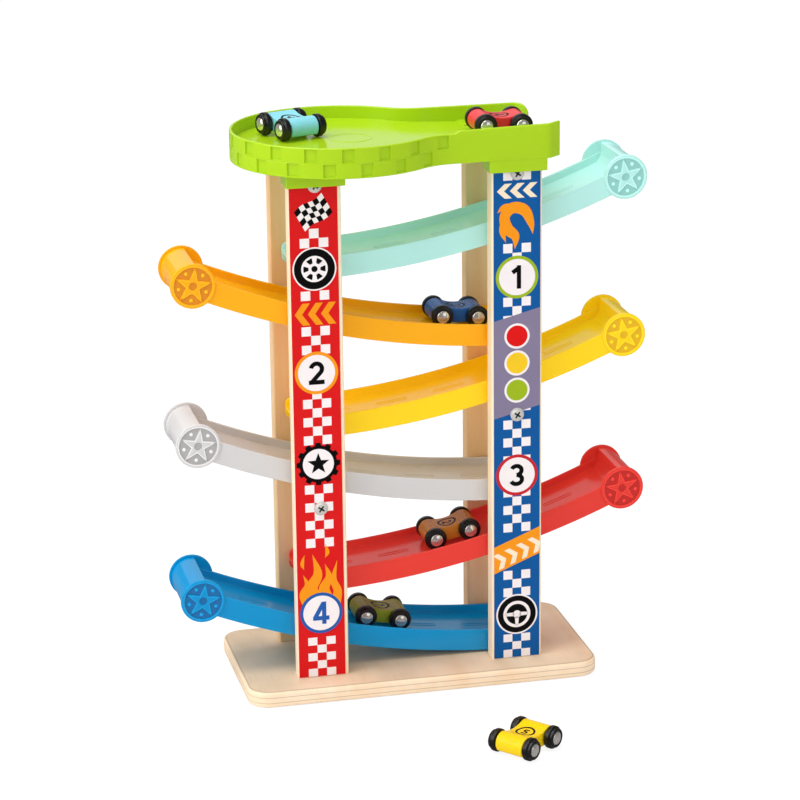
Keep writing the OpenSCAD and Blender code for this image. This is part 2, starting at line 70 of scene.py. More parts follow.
def camera_axes():
    """The camera's right, up and forward directions."""
    forward = Vector((sin(CAMERA_YAW) * cos(CAMERA_PITCH), cos(CAMERA_YAW) * cos(CAMERA_PITCH),
                      -sin(CAMERA_PITCH)))
    right = Vector((cos(CAMERA_YAW), -sin(CAMERA_YAW), 0))
    up = right.cross(forward)
    rolled_right = cos(CAMERA_ROLL) * right + sin(CAMERA_ROLL) * up
    rolled_up = cos(CAMERA_ROLL) * up - sin(CAMERA_ROLL) * right
    return rolled_right, rolled_up, forward


def place_camera():
    right, up, forward = camera_axes()
    data = bpy.data.cameras.new("camera")
    data.sensor_width = SENSOR_MM
    data.lens = SENSOR_MM * FOCAL_PIXELS / IMAGE_PIXELS
    camera = bpy.data.objects.new("camera", data)
    turn = Matrix((right, up, -forward)).transposed().to_4x4()
    camera.matrix_world = Matrix.Translation(LOOK_AT - CAMERA_DISTANCE * forward) @ turn
    scene.collection.objects.link(camera)
    scene.camera = camera
    return camera


camera = place_camera()
print("camera at", [round(c, 3) for c in camera.matrix_world.translation], "lens", round(camera.data.lens, 1))

# %% [markdown]
# ## Wiring nodes from Python
# Finishes and repeated shapes are both made of nodes. One small class stands for a socket, so that
# sums such as `1 - grain * 0.5` can be written as they are read, and each sum adds its Math node.
# A second class adds any other node from its type, its settings and its sockets.

# %% Sockets and nets


class Wire:
    """One output socket. A sum written on it becomes a Math node."""

    def __init__(self, net, socket):
        self.net = net
        self.socket = socket

    def math(self, operation, first, second):
        return self.net.node("ShaderNodeMath", {"operation": operation}, {0: first, 1: second})

    def __add__(self, other):
        return self.math("ADD", self, other)

    def __sub__(self, other):
        return self.math("SUBTRACT", self, other)

    def __rsub__(self, other):
        return self.math("SUBTRACT", other, self)

    def __mul__(self, other):
        return self.math("MULTIPLY", self, other)

    def __truediv__(self, other):
        return self.math("DIVIDE", self, other)

    def __rtruediv__(self, other):
        return self.math("DIVIDE", other, self)

    __radd__ = __add__
    __rmul__ = __mul__


class Net:
    """A node tree that is being wired."""

    def __init__(self, tree):
        self.tree = tree
        tree.nodes.clear()

    def node(self, kind, settings=None, sockets=None, out=0):
        node = self.tree.nodes.new(kind)
        for key, value in (settings or {}).items():
            if key == "stops":
                self.set_stops(node.color_ramp.elements, value)
            else:
                setattr(node, key, value)
        for key, value in (sockets or {}).items():
            if isinstance(value, Wire):
                self.tree.links.new(value.socket, node.inputs[key])
            else:
                node.inputs[key].default_value = value
        return Wire(self, node.outputs[out]) if len(node.outputs) else node

    @staticmethod
    def set_stops(elements, stops):
        while len(elements) < len(stops):
            elements.new(1.0)
        for element, (position, shade) in zip(elements, stops):
            element.position = position
            element.color = (shade, shade, shade, 1)

    def noise(self, where, scale, detail=2.0, distortion=0.0):
        sockets = {"Vector": where, "Scale": scale, "Detail": detail, "Distortion": distortion}
        return self.node("ShaderNodeTexNoise", {}, sockets)

    def stretched(self, where, scale):
        return self.node("ShaderNodeMapping", {}, {"Vector": where, "Scale": scale})

    def ramp(self, value, stops):
        return self.node("ShaderNodeValToRGB", {"stops": stops}, {"Fac": value})

    def mix(self, share, first, second):
        return self.node("ShaderNodeMix", {"data_type": "RGBA"}, {0: share, 6: first, 7: second}, out=2)

    def bump(self, height, strength, distance):
        sockets = {"Height": height, "Strength": strength, "Distance": distance}
        return self.node("ShaderNodeBump", {}, sockets)


def paint(red, green, blue):
    """A screen colour of 0 to 255 as the linear colour that a shader takes."""
    parts = [c / 255 for c in (red, green, blue)]
    return tuple(c / 12.92 if c <= 0.04045 else ((c + 0.055) / 1.055) ** 2.4 for c in parts) + (1,)


def shade(colour, factor):
    """A colour made darker or lighter."""
    return tuple(min(1, c * factor) for c in colour[:3]) + (1,)


def painted_depth_shade(colour):
    """Painted shade for a deep place: the colour darker, and fuller because light has met it more than once.
    """
    return tuple(0.75 * c ** 1.3 for c in colour[:3]) + (1,)


def new_finish(name):
    """A fresh material, its net, and the object's own coordinates in it."""
    material = bpy.data.materials.new(name)
    material.use_nodes = True
    net = Net(material.node_tree)
    return material, net, net.node("ShaderNodeTexCoord", out=3)


def close_finish(net, sockets):
    shader = net.node("ShaderNodeBsdfPrincipled", {}, sockets)
    net.node("ShaderNodeOutputMaterial", {}, {"Surface": shader})


print("white paint is", [round(c, 2) for c in paint(255, 255, 255)])

# %% [markdown]
# ## The finishes
# The tracks and the tray are glossy moulded plastic: an even colour with a faint cloud from the
# melt and a very fine skin. It could be one flat colour, but then light would slide over it as over
# a drawing, so cloud and skin also change the gloss. Such walls are thin, and some light comes through
# them from behind; that light is painted in as a faint glow of the plastic in its own colour.

# %% Moulded plastic
PLASTIC_CLOUD = 16
PLASTIC_SKIN = 1400


def moulded(name, colour, gloss=0.17, through=0.0):
    material, net, where = new_finish(name)
    cloud = net.noise(where, PLASTIC_CLOUD, 3, 0.4)
    skin = net.noise(where, PLASTIC_SKIN, 2)
    tint = net.mix(cloud, shade(colour, 1.05), shade(colour, 0.93))
    close_finish(net, {
        "Base Color": net.mix(skin * 0.12, tint, shade(colour, 0.8)),
        # Emission in the plastic's own tint is a painted glow for light that the thin walls let through
        "Emission Color": tint,
        "Emission Strength": through,
        "Roughness": gloss - 0.05 + cloud * 0.1 + skin * 0.04,
        "Normal": net.bump(skin, 0.08, 0.00004),
        "Specular IOR Level": 0.4,
    })
    return material


TRACK_COLOURS = {
    "blue": paint(0, 144, 204), "red": paint(222, 58, 49), "gray": paint(214, 212, 212),
    "yellow": paint(250, 208, 20), "orange": paint(250, 172, 10), "mint": paint(178, 230, 223),
}
LIME = paint(168, 206, 26)
# How strongly each plastic glows: painted light for the light that its thin walls let through
PAINTED_GLOW = {"blue": 0.06, "red": 0.14, "gray": 0.0, "yellow": 0.14, "orange": 0.07, "mint": 0.12}
track_plastic = {name: moulded(name + "_plastic", colour, through=PAINTED_GLOW[name])
                 for name, colour in TRACK_COLOURS.items()}
# Darker copies of each plastic for the pocket floors: painted shade, with more painted glow
pocket_shade_plastic = {name: moulded(name + "_pocket", painted_depth_shade(colour), 0.42, 1.5 * PAINTED_GLOW[name])
                  for name, colour in TRACK_COLOURS.items()}
# Paler copies of each plastic for the ridges and dots: painted highlight, with painted glow
highlight_ridge_plastic = {name: moulded(name + "_ridge", shade(colour, 1.25), 0.3, 0.12)
                 for name, colour in TRACK_COLOURS.items()}
lime_plastic = moulded("lime_plastic", LIME, 0.14, 0.06)
print(len(track_plastic) + len(pocket_shade_plastic) + len(highlight_ridge_plastic) + 1, "plastics")

# %% [markdown]
# Wood has a direction. The posts are pale birch with its grain upright, the board is plywood with
# its grain from front to back and its plies showing as bands round the edge. Stretching the
# coordinates along the grain turns plain noise into fibres, and a narrow ramp on a finer noise
# leaves only the short dark flecks.

# %% Birch and plywood
BIRCH_PALE = paint(255, 243, 219)
BIRCH_DARK = paint(250, 224, 186)
FLECK = paint(214, 174, 126)
GLUE_LINE = paint(150, 116, 84)
BOARD_PALE = paint(255, 236, 210)
BOARD_DARK = paint(250, 216, 178)
ALONG_GRAIN_SHARE = 0.05


def grain_scale(axis):
    """Coordinates squeezed along one axis, so that noise is drawn out along it."""
    return tuple(ALONG_GRAIN_SHARE if k == axis else 1 for k in range(3))


def birch_tint(net, where, axis, pale, dark):
    """Colour and fibre height of birch whose grain runs along an axis."""
    along = net.stretched(where, grain_scale(axis))
    figure = net.noise(along, 55, 3, 0.8)
    fibre = net.noise(along, 520, 4)
    fleck = net.ramp(net.noise(along, 900, 2), [(0.62, 0), (0.72, 1)])
    tint = net.mix(net.ramp(figure, [(0.3, 0), (0.75, 1)]), pale, dark)
    tint = net.mix(fibre * 0.35, tint, dark)
    return net.mix(fleck * 0.3, tint, FLECK), fibre


def birch(name, axis, pale=BIRCH_PALE, dark=BIRCH_DARK):
    material, net, where = new_finish(name)
    tint, fibre = birch_tint(net, where, axis, pale, dark)
    close_finish(net, {
        "Base Color": tint,
        "Roughness": 0.46 + fibre * 0.16,
        "Normal": net.bump(fibre, 0.25, 0.0001),
    })
    return material


def plywood(name, thickness, plies):
    """Plies as bands of height: the glue lines are dark, and every second ply is end grain."""
    material, net, where = new_finish(name)
    tint, fibre = birch_tint(net, where, 1, BOARD_PALE, BOARD_DARK)
    ripple = net.noise(net.stretched(where, (0.3, 0.3, 1)), 60, 2)
    height = net.node("ShaderNodeSeparateXYZ", {}, {0: where}, out=2)
    band = (height / (thickness / plies)) + ripple * 0.12
    within = net.node("ShaderNodeMath", {"operation": "PINGPONG"}, {0: band, 1: 1.0})
    glue = net.ramp(net.node("ShaderNodeMath", {"operation": "FRACT"}, {0: band}),
                    [(0.0, 1), (0.1, 0), (0.92, 0), (1.0, 1)])
    tint = net.mix(net.ramp(within, [(0.4, 0), (0.6, 1)]) * 0.25, tint, BIRCH_DARK)
    close_finish(net, {
        "Base Color": net.mix(glue * 0.7, tint, GLUE_LINE),
        "Roughness": 0.48 + fibre * 0.16,
        "Normal": net.bump(fibre - glue * 0.6, 0.3, 0.00012),
    })
    return material


BASE_LOW, BASE_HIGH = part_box("base_board")
# The rear posts take a darker birch, which is painted shade
post_wood = {"front": birch("front_post_wood", 2),
             "rear": birch("shaded_rear_post_wood", 2, paint(246, 214, 166), paint(236, 192, 138))}
dowel_wood = birch("dowel_wood", 1)
base_wood = plywood("base_plywood", BASE_HIGH.z, 3)
print("board is", round((BASE_HIGH.z - BASE_LOW.z) / MM, 1), "mm thick")

# %% [markdown]
# The stickers are printed vinyl, the cars are lacquered wood, the wheels are hard black plastic,
# and the hubs and screws are metal. They share one pattern: a colour, a cloud that varies it, and a
# gloss that follows the cloud.

# %% Print, lacquer, rubber black and metal


def printed_ink(name, colour):
    material, net, where = new_finish(name)
    cloud = net.noise(where, 45, 3)
    dots = net.noise(where, 2600, 1)
    close_finish(net, {
        "Base Color": net.mix(cloud * 0.5 + dots * 0.12, shade(colour, 1.03), shade(colour, 0.9)),
        "Roughness": 0.34 + cloud * 0.14,
        "Specular IOR Level": 0.12,
        "Normal": net.bump(dots, 0.08, 0.00003),
    })
    return material


def lacquered(name, colour):
    material, net, where = new_finish(name)
    grain = net.noise(where, 260, 4, 0.6)
    cloud = net.noise(where, 60, 2)
    close_finish(net, {
        "Base Color": net.mix(cloud * 0.6 + grain * 0.25, shade(colour, 1.06), shade(colour, 0.82)),
        "Roughness": 0.2 + grain * 0.12,
        "Normal": net.bump(grain, 0.1, 0.00005),
        "Specular IOR Level": 0.16,
        "Coat Weight": 0.06,
        "Coat Roughness": 0.12,
    })
    return material


def tyre_black(name):
    material, net, where = new_finish(name)
    cloud = net.noise(where, 150, 3)
    scuff = net.ramp(net.noise(where, 700, 3), [(0.55, 0), (0.75, 1)])
    close_finish(net, {
        "Base Color": net.mix(scuff * 0.3, paint(14, 14, 15), paint(44, 43, 44)),
        "Roughness": 0.24 + cloud * 0.16,
        "Normal": net.bump(cloud, 0.12, 0.00008),
    })
    return material


def bright_metal(name, colour, gloss, metallic=1.0):
    material, net, where = new_finish(name)
    cloud = net.noise(where, 220, 3)
    hair = net.noise(net.stretched(where, (1, 1, 0.1)), 2200, 2)
    close_finish(net, {
        "Base Color": net.mix(cloud, colour, shade(colour, 0.86)),
        "Metallic": metallic,
        "Roughness": gloss + hair * 0.1,
        "Normal": net.bump(hair, 0.05, 0.00004),
    })
    return material


INKS = {
    "red": paint(220, 20, 22), "blue": paint(6, 88, 158), "white": paint(246, 238, 238),
    "black": paint(10, 9, 10), "orange": paint(248, 152, 22), "cream": paint(250, 232, 205),
    "mauve": paint(134, 124, 152), "signal_red": paint(224, 16, 16), "amber": paint(246, 202, 36),
    "leaf": paint(158, 184, 30), "crimson": paint(202, 36, 46), "sky_blue": paint(36, 92, 172),
}
CAR_COLOURS = {
    "navy": paint(40, 98, 172), "copper": paint(206, 128, 44), "olive": paint(146, 156, 44),
    "red": paint(228, 54, 58), "sky": paint(136, 212, 226), "yellow": paint(250, 208, 22),
}
ink = {name: printed_ink(name + "_ink", colour) for name, colour in INKS.items()}
car_paint = {name: lacquered(name + "_lacquer", colour) for name, colour in CAR_COLOURS.items()}
wheel_black = tyre_black("wheel_black")
hub_chrome = bright_metal("hub_chrome", (0.92, 0.88, 0.82, 1), 0.05, 0.8)
screw_steel = bright_metal("screw_steel", (0.92, 0.9, 0.86, 1), 0.2, 0.45)
print(len(ink), "inks and", len(car_paint), "lacquers")

# %% [markdown]
# ## Building blocks for meshes
# Almost every piece here is a row of closed outlines joined by faces: a post is an outline raised, a
# track is an outline swept, a wheel is an outline turned. One class collects the corners and faces,
# in millimetres, and one call makes the mesh, in metres, with even normals and a smooth finish.

# %% Shapes
SHARP = radians(50)


def dress(piece, body, slot, *nodes):
    """Seats a finished piece on its body and hides the solids it stands for; slot is not used."""
    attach(piece, body)
    if nodes:
        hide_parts(*nodes)
    return piece


def finished(name, mesh, material):
    """An object at the origin for a mesh, with outward faces and flat faces kept flat."""
    work = bmesh.new()
    work.from_mesh(mesh)
    bmesh.ops.recalc_face_normals(work, faces=work.faces[:])
    work.to_mesh(mesh)
    work.free()
    mesh.shade_smooth()
    mesh.set_sharp_from_angle(angle=SHARP)
    mesh.materials.clear()
    mesh.materials.append(material)
    piece = bpy.data.objects.new(name, mesh)
    scene.collection.objects.link(piece)
    even = piece.modifiers.new("even_shading", "WEIGHTED_NORMAL")
    even.keep_sharp = True
    return piece


class Shape:
    """Corners and faces of one piece while it is put together, in millimetres."""

    def __init__(self):
        self.points = []
        self.faces = []

    def add(self, points, faces):
        start = len(self.points)
        self.points += [Vector(p) for p in points]
        self.faces += [tuple(start + k for k in face) for face in faces]

    def loft(self, loops, place=Matrix.Identity(4), ring=False):
        """Joins closed loops of equally many points; the ends are capped, or meet in a ring."""
        count = len(loops[0])
        steps = len(loops) if ring else len(loops) - 1
        faces = []
        for a in range(steps):
            b = (a + 1) % len(loops)
            for k in range(count):
                m = (k + 1) % count
                faces.append((a * count + k, a * count + m, b * count + m, b * count + k))
        if not ring:
            last = (len(loops) - 1) * count
            faces += [tuple(reversed(range(count))), tuple(range(last, last + count))]
        self.add([place @ Vector(p) for loop in loops for p in loop], faces)

    def turned(self, profile, place, ring=False, steps=48):
        """Turns a profile of radius and height about the upright axis of its place."""
        angles = [2 * pi * k / steps for k in range(steps)]
        self.loft([[(r * cos(a), r * sin(a), h) for a in angles] for r, h in profile], place, ring)

    def mesh(self, name):
        mesh = bpy.data.meshes.new(name)
        mesh.from_pydata([tuple(p * MM) for p in self.points], [], self.faces)
        return mesh

    def piece(self, name, material):
        return finished(name, self.mesh(name), material)


def box_mm(node):
    """Lowest and highest corner of a solid, in millimetres."""
    low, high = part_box(node)
    return low / MM, high / MM


def rounded(corners, radius, steps=3):
    """A closed flat outline with a curve at each corner, as large as its two sides allow."""
    outline = []
    count = len(corners)
    for k in range(count):
        before, here, after = (Vector(corners[j % count]) for j in (k - 1, k, k + 1))
        back, on = before - here, after - here
        reach = min(radius / tan(back.angle(on) / 2), 0.45 * back.length, 0.45 * on.length)
        start = here + reach * back.normalized()
        end = here + reach * on.normalized()
        for t in (j / steps for j in range(steps + 1)):
            outline.append((1 - t) ** 2 * start + 2 * t * (1 - t) * here + t ** 2 * end)
    return outline


def drawn_in(outline, inset):
    """A closed outline moved inwards, each corner along the middle of its two sides' normals."""
    moved = []
    count = len(outline)
    area = sum(outline[k - 1][0] * outline[k][1] - outline[k][0] * outline[k - 1][1] for k in range(count))
    hand = 1 if area > 0 else -1
    for k in range(count):
        before, here, after = (Vector(outline[j % count]) for j in (k - 1, k, k + 1))
        sides = [(here - before).normalized(), (after - here).normalized()]
        normals = [Vector((-s.y, s.x)) * hand for s in sides]
        middle = (normals[0] + normals[1]).normalized()
        moved.append(here + middle * inset / max(0.4, middle.dot(normals[0])))
    return moved


def rim_levels(low, high, edge, steps=3):
    """Inset and height up a prism whose two rims are rounded."""
    angles = [k * pi / 2 / steps for k in range(steps + 1)]
    rise = [(edge * (1 - sin(a)), edge * (1 - cos(a))) for a in angles]
    return [(i, low + up) for i, up in rise] + [(i, high - up) for i, up in reversed(rise)]


def round_rectangle(middle_x, middle_y, width, depth, radius, inset=0, steps=5):
    half_w = width / 2 - inset
    half_d = depth / 2 - inset
    r = max(radius - inset, 0.05)
    outline = []
    for sx, sy, start in ((1, 1, 0), (-1, 1, 90), (-1, -1, 180), (1, -1, 270)):
        for a in (radians(start + 90 * k / steps) for k in range(steps + 1)):
            outline.append((middle_x + sx * (half_w - r) + r * cos(a),
                            middle_y + sy * (half_d - r) + r * sin(a)))
    return outline


FACE_FRONT = Matrix.Rotation(pi / 2, 4, "X")
FACE_REAR = Matrix.Rotation(pi, 4, "Z") @ FACE_FRONT
FACES = {-1: FACE_FRONT, 1: FACE_REAR}
print("a rounded square has", len(rounded([(0, 0), (1, 0), (1, 1), (0, 1)], 0.2)), "points")

# %% [markdown]
# ## The wooden stand
# The board and the four posts are sawn and sanded. Each could be a cube with a Bevel modifier, but
# the board's corners have a far larger radius than its edges, so an outline with its own corner
# radius is raised through levels that round both rims. The dowels are turned, with a small chamfer.

# %% Board, posts and dowels
BOARD_CORNER = 16
BOARD_EDGE = 2.6
POST_CORNER = 1.2
POST_EDGE = 0.5
DOWEL_CHAMFER = 0.6
POSTS = [(depth, side) for depth in ("front", "rear") for side in ("left", "right")]


def raised_slab(node, corner, edge, steps=5):
    low, high = box_mm(node)
    middle = (low + high) / 2
    size = high - low
    shape = Shape()
    shape.loft([[(x, y, z) for x, y in round_rectangle(middle.x, middle.y, size.x, size.y, corner, i, steps)]
                for i, z in rim_levels(low.z, high.z, edge)])
    return shape


def turned_dowel(node):
    low, high = box_mm(node)
    middle = (low + high) / 2
    radius = (high.x - low.x) / 2
    half = (high.y - low.y) / 2
    shape = Shape()
    shape.turned([(radius - DOWEL_CHAMFER, -half), (radius, DOWEL_CHAMFER - half),
                  (radius, half - DOWEL_CHAMFER), (radius - DOWEL_CHAMFER, half)],
                 Matrix.Translation(middle) @ FACE_FRONT)
    return shape


board = raised_slab("base_board", BOARD_CORNER, BOARD_EDGE, 10).piece("board", base_wood)
dress(board, "stand", "base_plywood", "base_board")
for depth, side in POSTS:
    node = f"{depth}_{side}_post"
    wood = raised_slab(node, POST_CORNER, POST_EDGE).piece(node + "_wood", post_wood[depth])
    dress(wood, "stand", "post_wood", node)
for side in ("left", "right"):
    for level in ("top", "middle"):
        node = f"{side}_{level}_dowel"
        dress(turned_dowel(node).piece(node + "_wood", dowel_wood), "stand", "dowel_wood", node)
print("board, 4 posts and 4 dowels")

# %% [markdown]
# ## Repeating shapes with Geometry Nodes
# Squares on the stickers, screws, washers and the dots on the discs all repeat. A small node tree
# sets one shape out on points. Each point carries its turn and its stretch as attributes, so that
# one tree serves them all. It ends in Realize Instances and Set Material, and the result is turned
# into a plain mesh, because instances would be lost later.

# %% Tree that sets a shape out on points


def new_tree(name, inputs):
    """A geometry tree with named inputs; gives its net and the wires of those inputs."""
    tree = bpy.data.node_groups.new(name, "GeometryNodeTree")
    tree.interface.new_socket(name="Geometry", in_out="OUTPUT", socket_type="NodeSocketGeometry")
    tree.interface.new_socket(name="Geometry", in_out="INPUT", socket_type="NodeSocketGeometry")
    for label, kind in inputs.items():
        tree.interface.new_socket(name=label, in_out="INPUT", socket_type="NodeSocket" + kind)
    net = Net(tree)
    group = net.tree.nodes.new("NodeGroupInput")
    return net, {socket.name: Wire(net, socket) for socket in group.outputs if socket.name}


def end_tree(net, geometry, finish):
    solid = net.node("GeometryNodeRealizeInstances", {}, {0: geometry})
    solid = net.node("GeometryNodeSetMaterial", {}, {"Geometry": solid, "Material": finish})
    net.node("NodeGroupOutput", {}, {0: solid})
    return net.tree


def set_out_tree():
    net, given = new_tree("set_out", {"Shape": "Object", "Finish": "Material"})
    turn = net.node("GeometryNodeInputNamedAttribute", {"data_type": "FLOAT_VECTOR"}, {"Name": "turn"})
    stretch = net.node("GeometryNodeInputNamedAttribute", {"data_type": "FLOAT_VECTOR"}, {"Name": "stretch"})
    shape = net.node("GeometryNodeObjectInfo", {}, {"Object": given["Shape"]}, out=4)
    copies = net.node("GeometryNodeInstanceOnPoints", {}, {
        "Points": given["Geometry"], "Instance": shape, "Rotation": turn, "Scale": stretch})
    return end_tree(net, copies, given["Finish"])


def run_tree(tree, name, mesh, inputs):
    """Runs a tree on a mesh and gives the result as a plain mesh."""
    holder = bpy.data.objects.new(name, mesh)
    scene.collection.objects.link(holder)
    modifier = holder.modifiers.new("build", "NODES")
    modifier.node_group = tree
    for item in tree.interface.items_tree:
        if item.in_out == "INPUT" and item.name in inputs:
            modifier[item.identifier] = inputs[item.name]
    evaluated = holder.evaluated_get(bpy.context.evaluated_depsgraph_get())
    result = bpy.data.meshes.new_from_object(evaluated)
    holder.modifiers.clear()
    bpy.data.objects.remove(holder)
    return result


def set_out(name, pattern, places, material):
    """One piece of many copies; a place is a point in millimetres, a turn and a stretch."""
    mesh = bpy.data.meshes.new(name)
    mesh.from_pydata([tuple(Vector(point) * MM) for point, turn, stretch in places], [], [])
    for label, column in (("turn", 1), ("stretch", 2)):
        values = mesh.attributes.new(label, "FLOAT_VECTOR", "POINT")
        for k, place in enumerate(places):
            values.data[k].vector = place[column]
    model = bpy.data.objects.new(name + "_pattern", pattern.mesh(name + "_pattern"))
    scene.collection.objects.link(model)
    result = run_tree(SET_OUT, name, mesh, {"Shape": model, "Finish": material})
    bpy.data.objects.remove(model)
    return finished(name, result, material)


SET_OUT = set_out_tree()
UNSTRETCHED = (1, 1, 1)
FRONT_TURN = tuple(FACE_FRONT.to_euler())
REAR_TURN = tuple(FACE_REAR.to_euler())
print("set_out has", len(SET_OUT.nodes), "nodes")

# %% [markdown]
# ## The screws and washers
# A pan head screw with a washer holds each post to its dowels. The cross in the head is real: the
# outline of a plus sign, as a radius for each direction, is lofted down from the top of the head. A
# recess so small and deep looks almost black, so a dark plate inside it stands for that shade.

# %% Screws and washers
SCREW_HEAD_R = 4
SCREW_HEAD_H = 1.5
CROSS_W = 0.65
CROSS_REACH = 2.7
CROSS_DEPTH = 1.9
CROSS_TURN = radians(35)
CROSS_SHADE = 0.35
CROSS_STEPS = 64
PLATE_SHARE = 0.98
WASHER_R = 5
WASHER_T = 0.8
WASHER_HOLE = 2.1


def cross_radius(angle):
    """How far a plus sign reaches in a direction."""
    c, s = max(abs(cos(angle)), 1e-6), max(abs(sin(angle)), 1e-6)
    return max(min(CROSS_REACH / c, CROSS_W / s), min(CROSS_W / c, CROSS_REACH / s))


def cross_loop(height, share=1):
    angles = [2 * pi * k / CROSS_STEPS for k in range(CROSS_STEPS)]
    reach = [share * cross_radius(a + CROSS_TURN) for a in angles]
    return [(r * cos(a), r * sin(a), height) for r, a in zip(reach, angles)]


def screw_cross_shade():
    """The dark plate in the recess of the cross, which is painted shade."""
    shape = Shape()
    top = WASHER_T + SCREW_HEAD_H
    shape.loft([cross_loop(top - CROSS_DEPTH, PLATE_SHARE), cross_loop(top - CROSS_SHADE, PLATE_SHARE)])
    return shape


def screw_head():
    shape = Shape()
    angles = [2 * pi * k / CROSS_STEPS for k in range(CROSS_STEPS)]
    top = WASHER_T + SCREW_HEAD_H
    rows = [(SCREW_HEAD_R - 0.2, WASHER_T), (SCREW_HEAD_R, WASHER_T + 0.25), (SCREW_HEAD_R, top - 0.75),
            (SCREW_HEAD_R - 0.25, top - 0.3), (SCREW_HEAD_R - 0.9, top)]
    loops = [[(r * cos(a), r * sin(a), h) for a in angles] for r, h in rows]
    loops += [cross_loop(top + 0.05), cross_loop(top - CROSS_DEPTH)]
    shape.loft(loops)
    return shape


def washer():
    shape = Shape()
    corners = [(WASHER_HOLE, 0), (WASHER_R, 0), (WASHER_R, WASHER_T), (WASHER_HOLE, WASHER_T)]
    shape.turned(rounded(corners, 0.25), Matrix.Identity(4), ring=True)
    return shape


def screw_places():
    """Where the heads sit: on the face of each post, in line with the two dowels behind it."""
    places = []
    washer_low, washer_high = box_mm("screw_washers")
    for side in ("left", "right"):
        for level in ("top", "middle"):
            low, high = box_mm(f"{side}_{level}_dowel")
            middle = (low + high) / 2
            places.append(((middle.x, washer_low.y + WASHER_T, middle.z), FRONT_TURN, UNSTRETCHED))
            places.append(((middle.x, washer_high.y - WASHER_T, middle.z), REAR_TURN, UNSTRETCHED))
    return places


places = screw_places()
dress(set_out("screw_heads", screw_head(), places, screw_steel), "stand", "screw_steel", "post_screws")
dress(set_out("screw_crosses", screw_cross_shade(), places, wheel_black), "stand", "screw_steel")
dress(set_out("washers", washer(), places, screw_steel), "stand", "screw_steel", "screw_washers")
base_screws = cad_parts["base_screws"]
base_screws.data.materials.clear()
base_screws.data.materials.append(screw_steel)
print(len(places), "screws with washers")

# %% [markdown]
# ## The tracks
# Each track is one moulding: a channel of even section along a wide arc, with a rolled end between
# two round discs. The section is an H, with the running floor between two walls. Sweeping that
# outline in rings of slope angles gives the channel, and close to the low end the walls' heights
# shrink ring by ring, which rounds their corners. At the high end the floor sweeps up to the crest of
# the roll and stops the car there, so its side view is a quarter round that meets the floor's slope.

# %% Track sizes and the channel
TRACKS = ("blue", "red", "gray", "yellow", "orange", "mint")
TRACK_R = 600
TRACK_HALF = 27.2
TRACK_WALL = 2
WALL_HALF_H = 8
FLOOR_R = 598
FLOOR_T = 2
CURL_ANGLE = radians(24)
LOW_ANGLE = radians(0.5)
LOW_CORNER = 5
RUN_INTO_DISC = 9
DISC_R = 16
SHELL_R = 14.4
SHELL_T = 2
SHELL_OVERLAP = 0.4
DISC_ROOT = 25.7
DISC_FACE = 28.5
PEG_SHOULDER_R = 6.8
SCOOP_R = 11
SHELL_START = radians(80)
SHELL_SWEEP = radians(180)


class TrackLine:
    """The arc of one track, found from its solid: the disc touches the box at its end and its top."""

    def __init__(self, name):
        low, high = box_mm(name + "_track")
        self.side = -1 if TRACKS.index(name) % 2 == 0 else 1
        self.curl_x = low.x + DISC_R if self.side < 0 else high.x - DISC_R
        self.curl_z = high.z - DISC_R
        self.arc_x = self.curl_x - self.side * TRACK_R * sin(CURL_ANGLE)
        self.arc_z = self.curl_z + TRACK_R * cos(CURL_ANGLE)

    def at(self, slope, radius, across):
        return (self.arc_x + self.side * radius * sin(slope), across, self.arc_z - radius * cos(slope))

    def curl(self):
        return Matrix.Translation((self.curl_x, 0, self.curl_z))

    def slope_at(self, x):
        return asin((x - self.arc_x) * self.side / TRACK_R)


def channel_section(bite):
    """Radius and width of the H section; bite takes height off both ends of the walls."""
    top = TRACK_R - WALL_HALF_H + bite
    low = TRACK_R + WALL_HALF_H - bite
    out, inner = TRACK_HALF, TRACK_HALF - TRACK_WALL
    return rounded([(top, -out), (low, -out), (low, -inner), (FLOOR_R + FLOOR_T, -inner),
                    (FLOOR_R + FLOOR_T, inner), (low, inner), (low, out), (top, out),
                    (top, inner), (FLOOR_R, inner), (FLOOR_R, -inner), (top, -inner)], 0.8)


def add_channel(shape, line):
    near = [LOW_CORNER * (k / 10) ** 2 for k in range(11)]
    length = TRACK_R * (CURL_ANGLE - LOW_ANGLE) + RUN_INTO_DISC
    rest = [LOW_CORNER + (length - LOW_CORNER) * k / 84 for k in range(1, 85)]
    loops = []
    for run in near + rest:
        gap = max(0, LOW_CORNER - run)
        bite = LOW_CORNER - sqrt(LOW_CORNER ** 2 - gap ** 2)
        loops.append([line.at(LOW_ANGLE + run / TRACK_R, r, y) for r, y in channel_section(bite)])
    shape.loft(loops)


def add_floor_end(shape, line):
    """The floor runs on across the curl to the rolled shell."""
    half = DISC_ROOT + SHELL_OVERLAP
    corners = [(FLOOR_R, -half), (FLOOR_R + FLOOR_T, -half), (FLOOR_R + FLOOR_T, half), (FLOOR_R, half)]
    reach = (SHELL_R - SHELL_T / 2) / TRACK_R
    loops = []
    for k in range(9):
        slope = CURL_ANGLE + reach * (k - 1) / 7.5
        loops.append([line.at(slope, r, y) for r, y in rounded(corners, 0.2)])
    shape.loft(loops)


